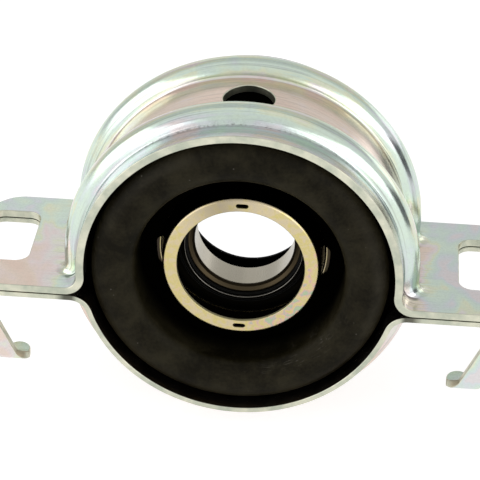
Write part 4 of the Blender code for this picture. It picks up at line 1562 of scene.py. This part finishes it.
@dataclass(frozen=True)
class Studio:
    """Pale floor, soft light and the camera at the photo's angle.

    The camera's distance and target are in millimetres, and the floor and the dark card
    are in metres.
    """

    azimuth: float = 4.03
    elevation: float = 31.47
    roll: float = 1.57
    distance: float = 721.5
    focal_pixels: float = 2050.6
    frame_pixels: float = 480.0
    target: tuple[float, float, float] = (-1.92, 0.0, -2.03)
    floor_height: float = -0.0612
    floor_reach: float = 6.0
    surround: tuple[tuple[float, float], ...] = (
        (0.0, 0.76), (0.17, 0.87), (0.42, 0.90), (0.56, 0.64), (0.74, 0.66), (0.83, 0.77),
        (0.92, 0.82))
    flag_azimuths: tuple[float, float] = (93.0, 123.0)
    flag_distance: float = 0.5
    flag_height: float = 0.095

    def floor(self) -> None:
        """A large pale floor that isn't part of the object, with a glow that thins shadows."""
        r, z = self.floor_reach, self.floor_height
        floor = card("studio_floor", [(-r, -r, z), (r, -r, z), (r, r, z), (-r, r, z)],
                     "pale_floor", 3.0, ((0.49, 0.49, 0.49), (0.51, 0.51, 0.51)),
                     Emission_Strength=0.68, Emission_Color=(1.0, 1.0, 1.0, 1.0))

    def flag(self) -> None:
        """A dark upright card low on the right, which only the part's reflections show."""
        reach = self.flag_distance
        near, far = ((reach * math.sin(a), reach * math.cos(a))
                     for a in map(math.radians, self.flag_azimuths))
        low, high = self.floor_height, self.flag_height
        flag = card("studio_flag", [(*near, low), (*far, low), (*far, high), (*near, high)],
                    "dark_card", 20.0, ((0.10, 0.10, 0.11), (0.13, 0.13, 0.14)))
        flag.visible_camera = False

    def sky(self) -> None:
        """A pale surround whose level follows the angle from the front over the top.

        The angle is atan2(z, -y), as a share of the half turn from front to rear.
        """
        world = bpy.data.worlds.new("studio_surround")
        world.use_nodes = True
        nodes = Nodes(world.node_tree)
        way = nodes.node("ShaderNodeTexCoord").outputs["Generated"]
        parts = nodes.node("ShaderNodeSeparateXYZ", {"Vector": way}).outputs
        angle = nodes.math("ARCTAN2", parts["Z"], nodes.times(parts["Y"], -1.0))
        share = nodes.span(angle, 0.0, math.pi, 0.0, 1.0)
        level = nodes.ramp(share, tuple((place, (grey,) * 3) for place, grey in self.surround))
        nodes.feed(nodes.tree.nodes["Background"].inputs["Color"], level)
        bpy.context.scene.world = world

    def lights(self) -> None:
        """Wide tilted softboxes at the front left and right, and weak ones elsewhere."""
        for box in (Softbox("left_softbox", -127.0, 14.0, 34.0, 17.0, 0.95, -24.0),
                    Softbox("right_softbox", 146.0, 8.0, 25.0, 14.0, 1.1, 26.0),
                    Softbox("rear_softbox", 66.0, 15.0, 19.0, 10.0, 0.6),
                    Softbox("back_softbox", 34.0, 0.0, 10.0, 6.0, 0.35),
                    Softbox("high_softbox", -18.0, 30.0, 14.0, 9.0, 0.10)):
            box.build()

    def camera(self) -> None:
        """The camera from its angles: back, right and up from azimuth, elevation and roll."""
        a, e, r = (math.radians(v) for v in (self.azimuth, self.elevation, self.roll))
        back = Vector((math.sin(a) * math.cos(e), -math.cos(a) * math.cos(e), math.sin(e)))
        level = Vector((math.cos(a), math.sin(a), 0.0))
        rise = back.cross(level)
        right = level * math.cos(r) + rise * math.sin(r)
        up = rise * math.cos(r) - level * math.sin(r)
        place = (Vector(self.target) + back * self.distance) * MM
        data = bpy.data.cameras.new("photo_camera")
        data.sensor_width = 36.0
        data.lens = data.sensor_width * self.focal_pixels / self.frame_pixels
        data.clip_start, data.clip_end = 0.05, 50.0
        camera = bpy.data.objects.new("photo_camera", data)
        camera.matrix_world = Matrix((
            (right.x, up.x, back.x, place.x), (right.y, up.y, back.y, place.y),
            (right.z, up.z, back.z, place.z), (0.0, 0.0, 0.0, 1.0)))
        bpy.context.scene.collection.objects.link(camera)
        bpy.context.scene.camera = camera

    def build(self) -> None:
        """Set up the whole studio."""
        self.floor()
        self.flag()
        self.sky()
        self.lights()
        self.camera()
        bpy.context.scene.view_settings.view_transform = "Standard"


def dress_node(nodes: dict[str, Object], name: str,
               finish: Material) -> None:
    """Give a node that stays its finish.

    Args:
        nodes: The frame's nodes by name.
        name: The node's name.
        finish: Its material.
    """
    for slot in nodes[name].material_slots:
        slot.material = finish
    LOG.info("%s: dressed with %s", name, finish.name)


def corners(box: tuple[Vector, Vector]) -> list[list[float]]:
    """A box as plain lists of numbers."""
    return [[float(value) for value in corner] for corner in box]


def main() -> None:
    """Build the whole scene in order."""
    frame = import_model()
    nodes = frame["nodes"]
    Studio().build()
    zinc, gold = ZINC.build(), GOLD.build()
    steel, chrome = BORE_STEEL.build(), BALL_STEEL.build()
    rubber, seal = CUSHION_RUBBER.build(), SEAL_RUBBER.build()
    nylon = CAGE_NYLON.build()
    PressedBracket(Half.ARCH, 2.8, 4.2, -7.4).build("upper_bracket", zinc)
    PressedBracket(Half.STRAP, 1.9, 6.1, 12.4, pucker=0.0).build("lower_bracket", zinc)
    Cushion().build(rubber)
    DustCover(Side.FRONT, 7.3).build("front_dust_cover", "golden_plating", gold)
    # painted shade: the rear cover gets a near-black finish for the shade it lies in
    DustCover(Side.REAR, 10.1).build("rear_dust_cover", "black_enamel", SHADED_COVER_BLACK.build())
    # painted shade behind the covers' slots
    for side in Side:
        SlotShadePads(side).build(rubber)
    Sleeve().build(gold)
    bearing = Bearing()
    bearing.inner_ring(steel)
    bearing.seal("front_bearing_seal", Side.FRONT, seal)
    bearing.seal("rear_bearing_seal", Side.REAR, seal)
    lip_steel = LIP_STEEL.build()
    for side in Side:
        bearing.lip_ring(side, lip_steel)
    dress_node(nodes, "bearing_outer_ring", steel)
    dress_node(nodes, "ball_cage", nylon)
    for name in sorted(nodes):
        if name.startswith("ball_") and name != "ball_cage":
            dress_node(nodes, name, chrome)


if __name__ == "__main__":
    logging.basicConfig(level=logging.INFO, format="%(message)s")
    main()
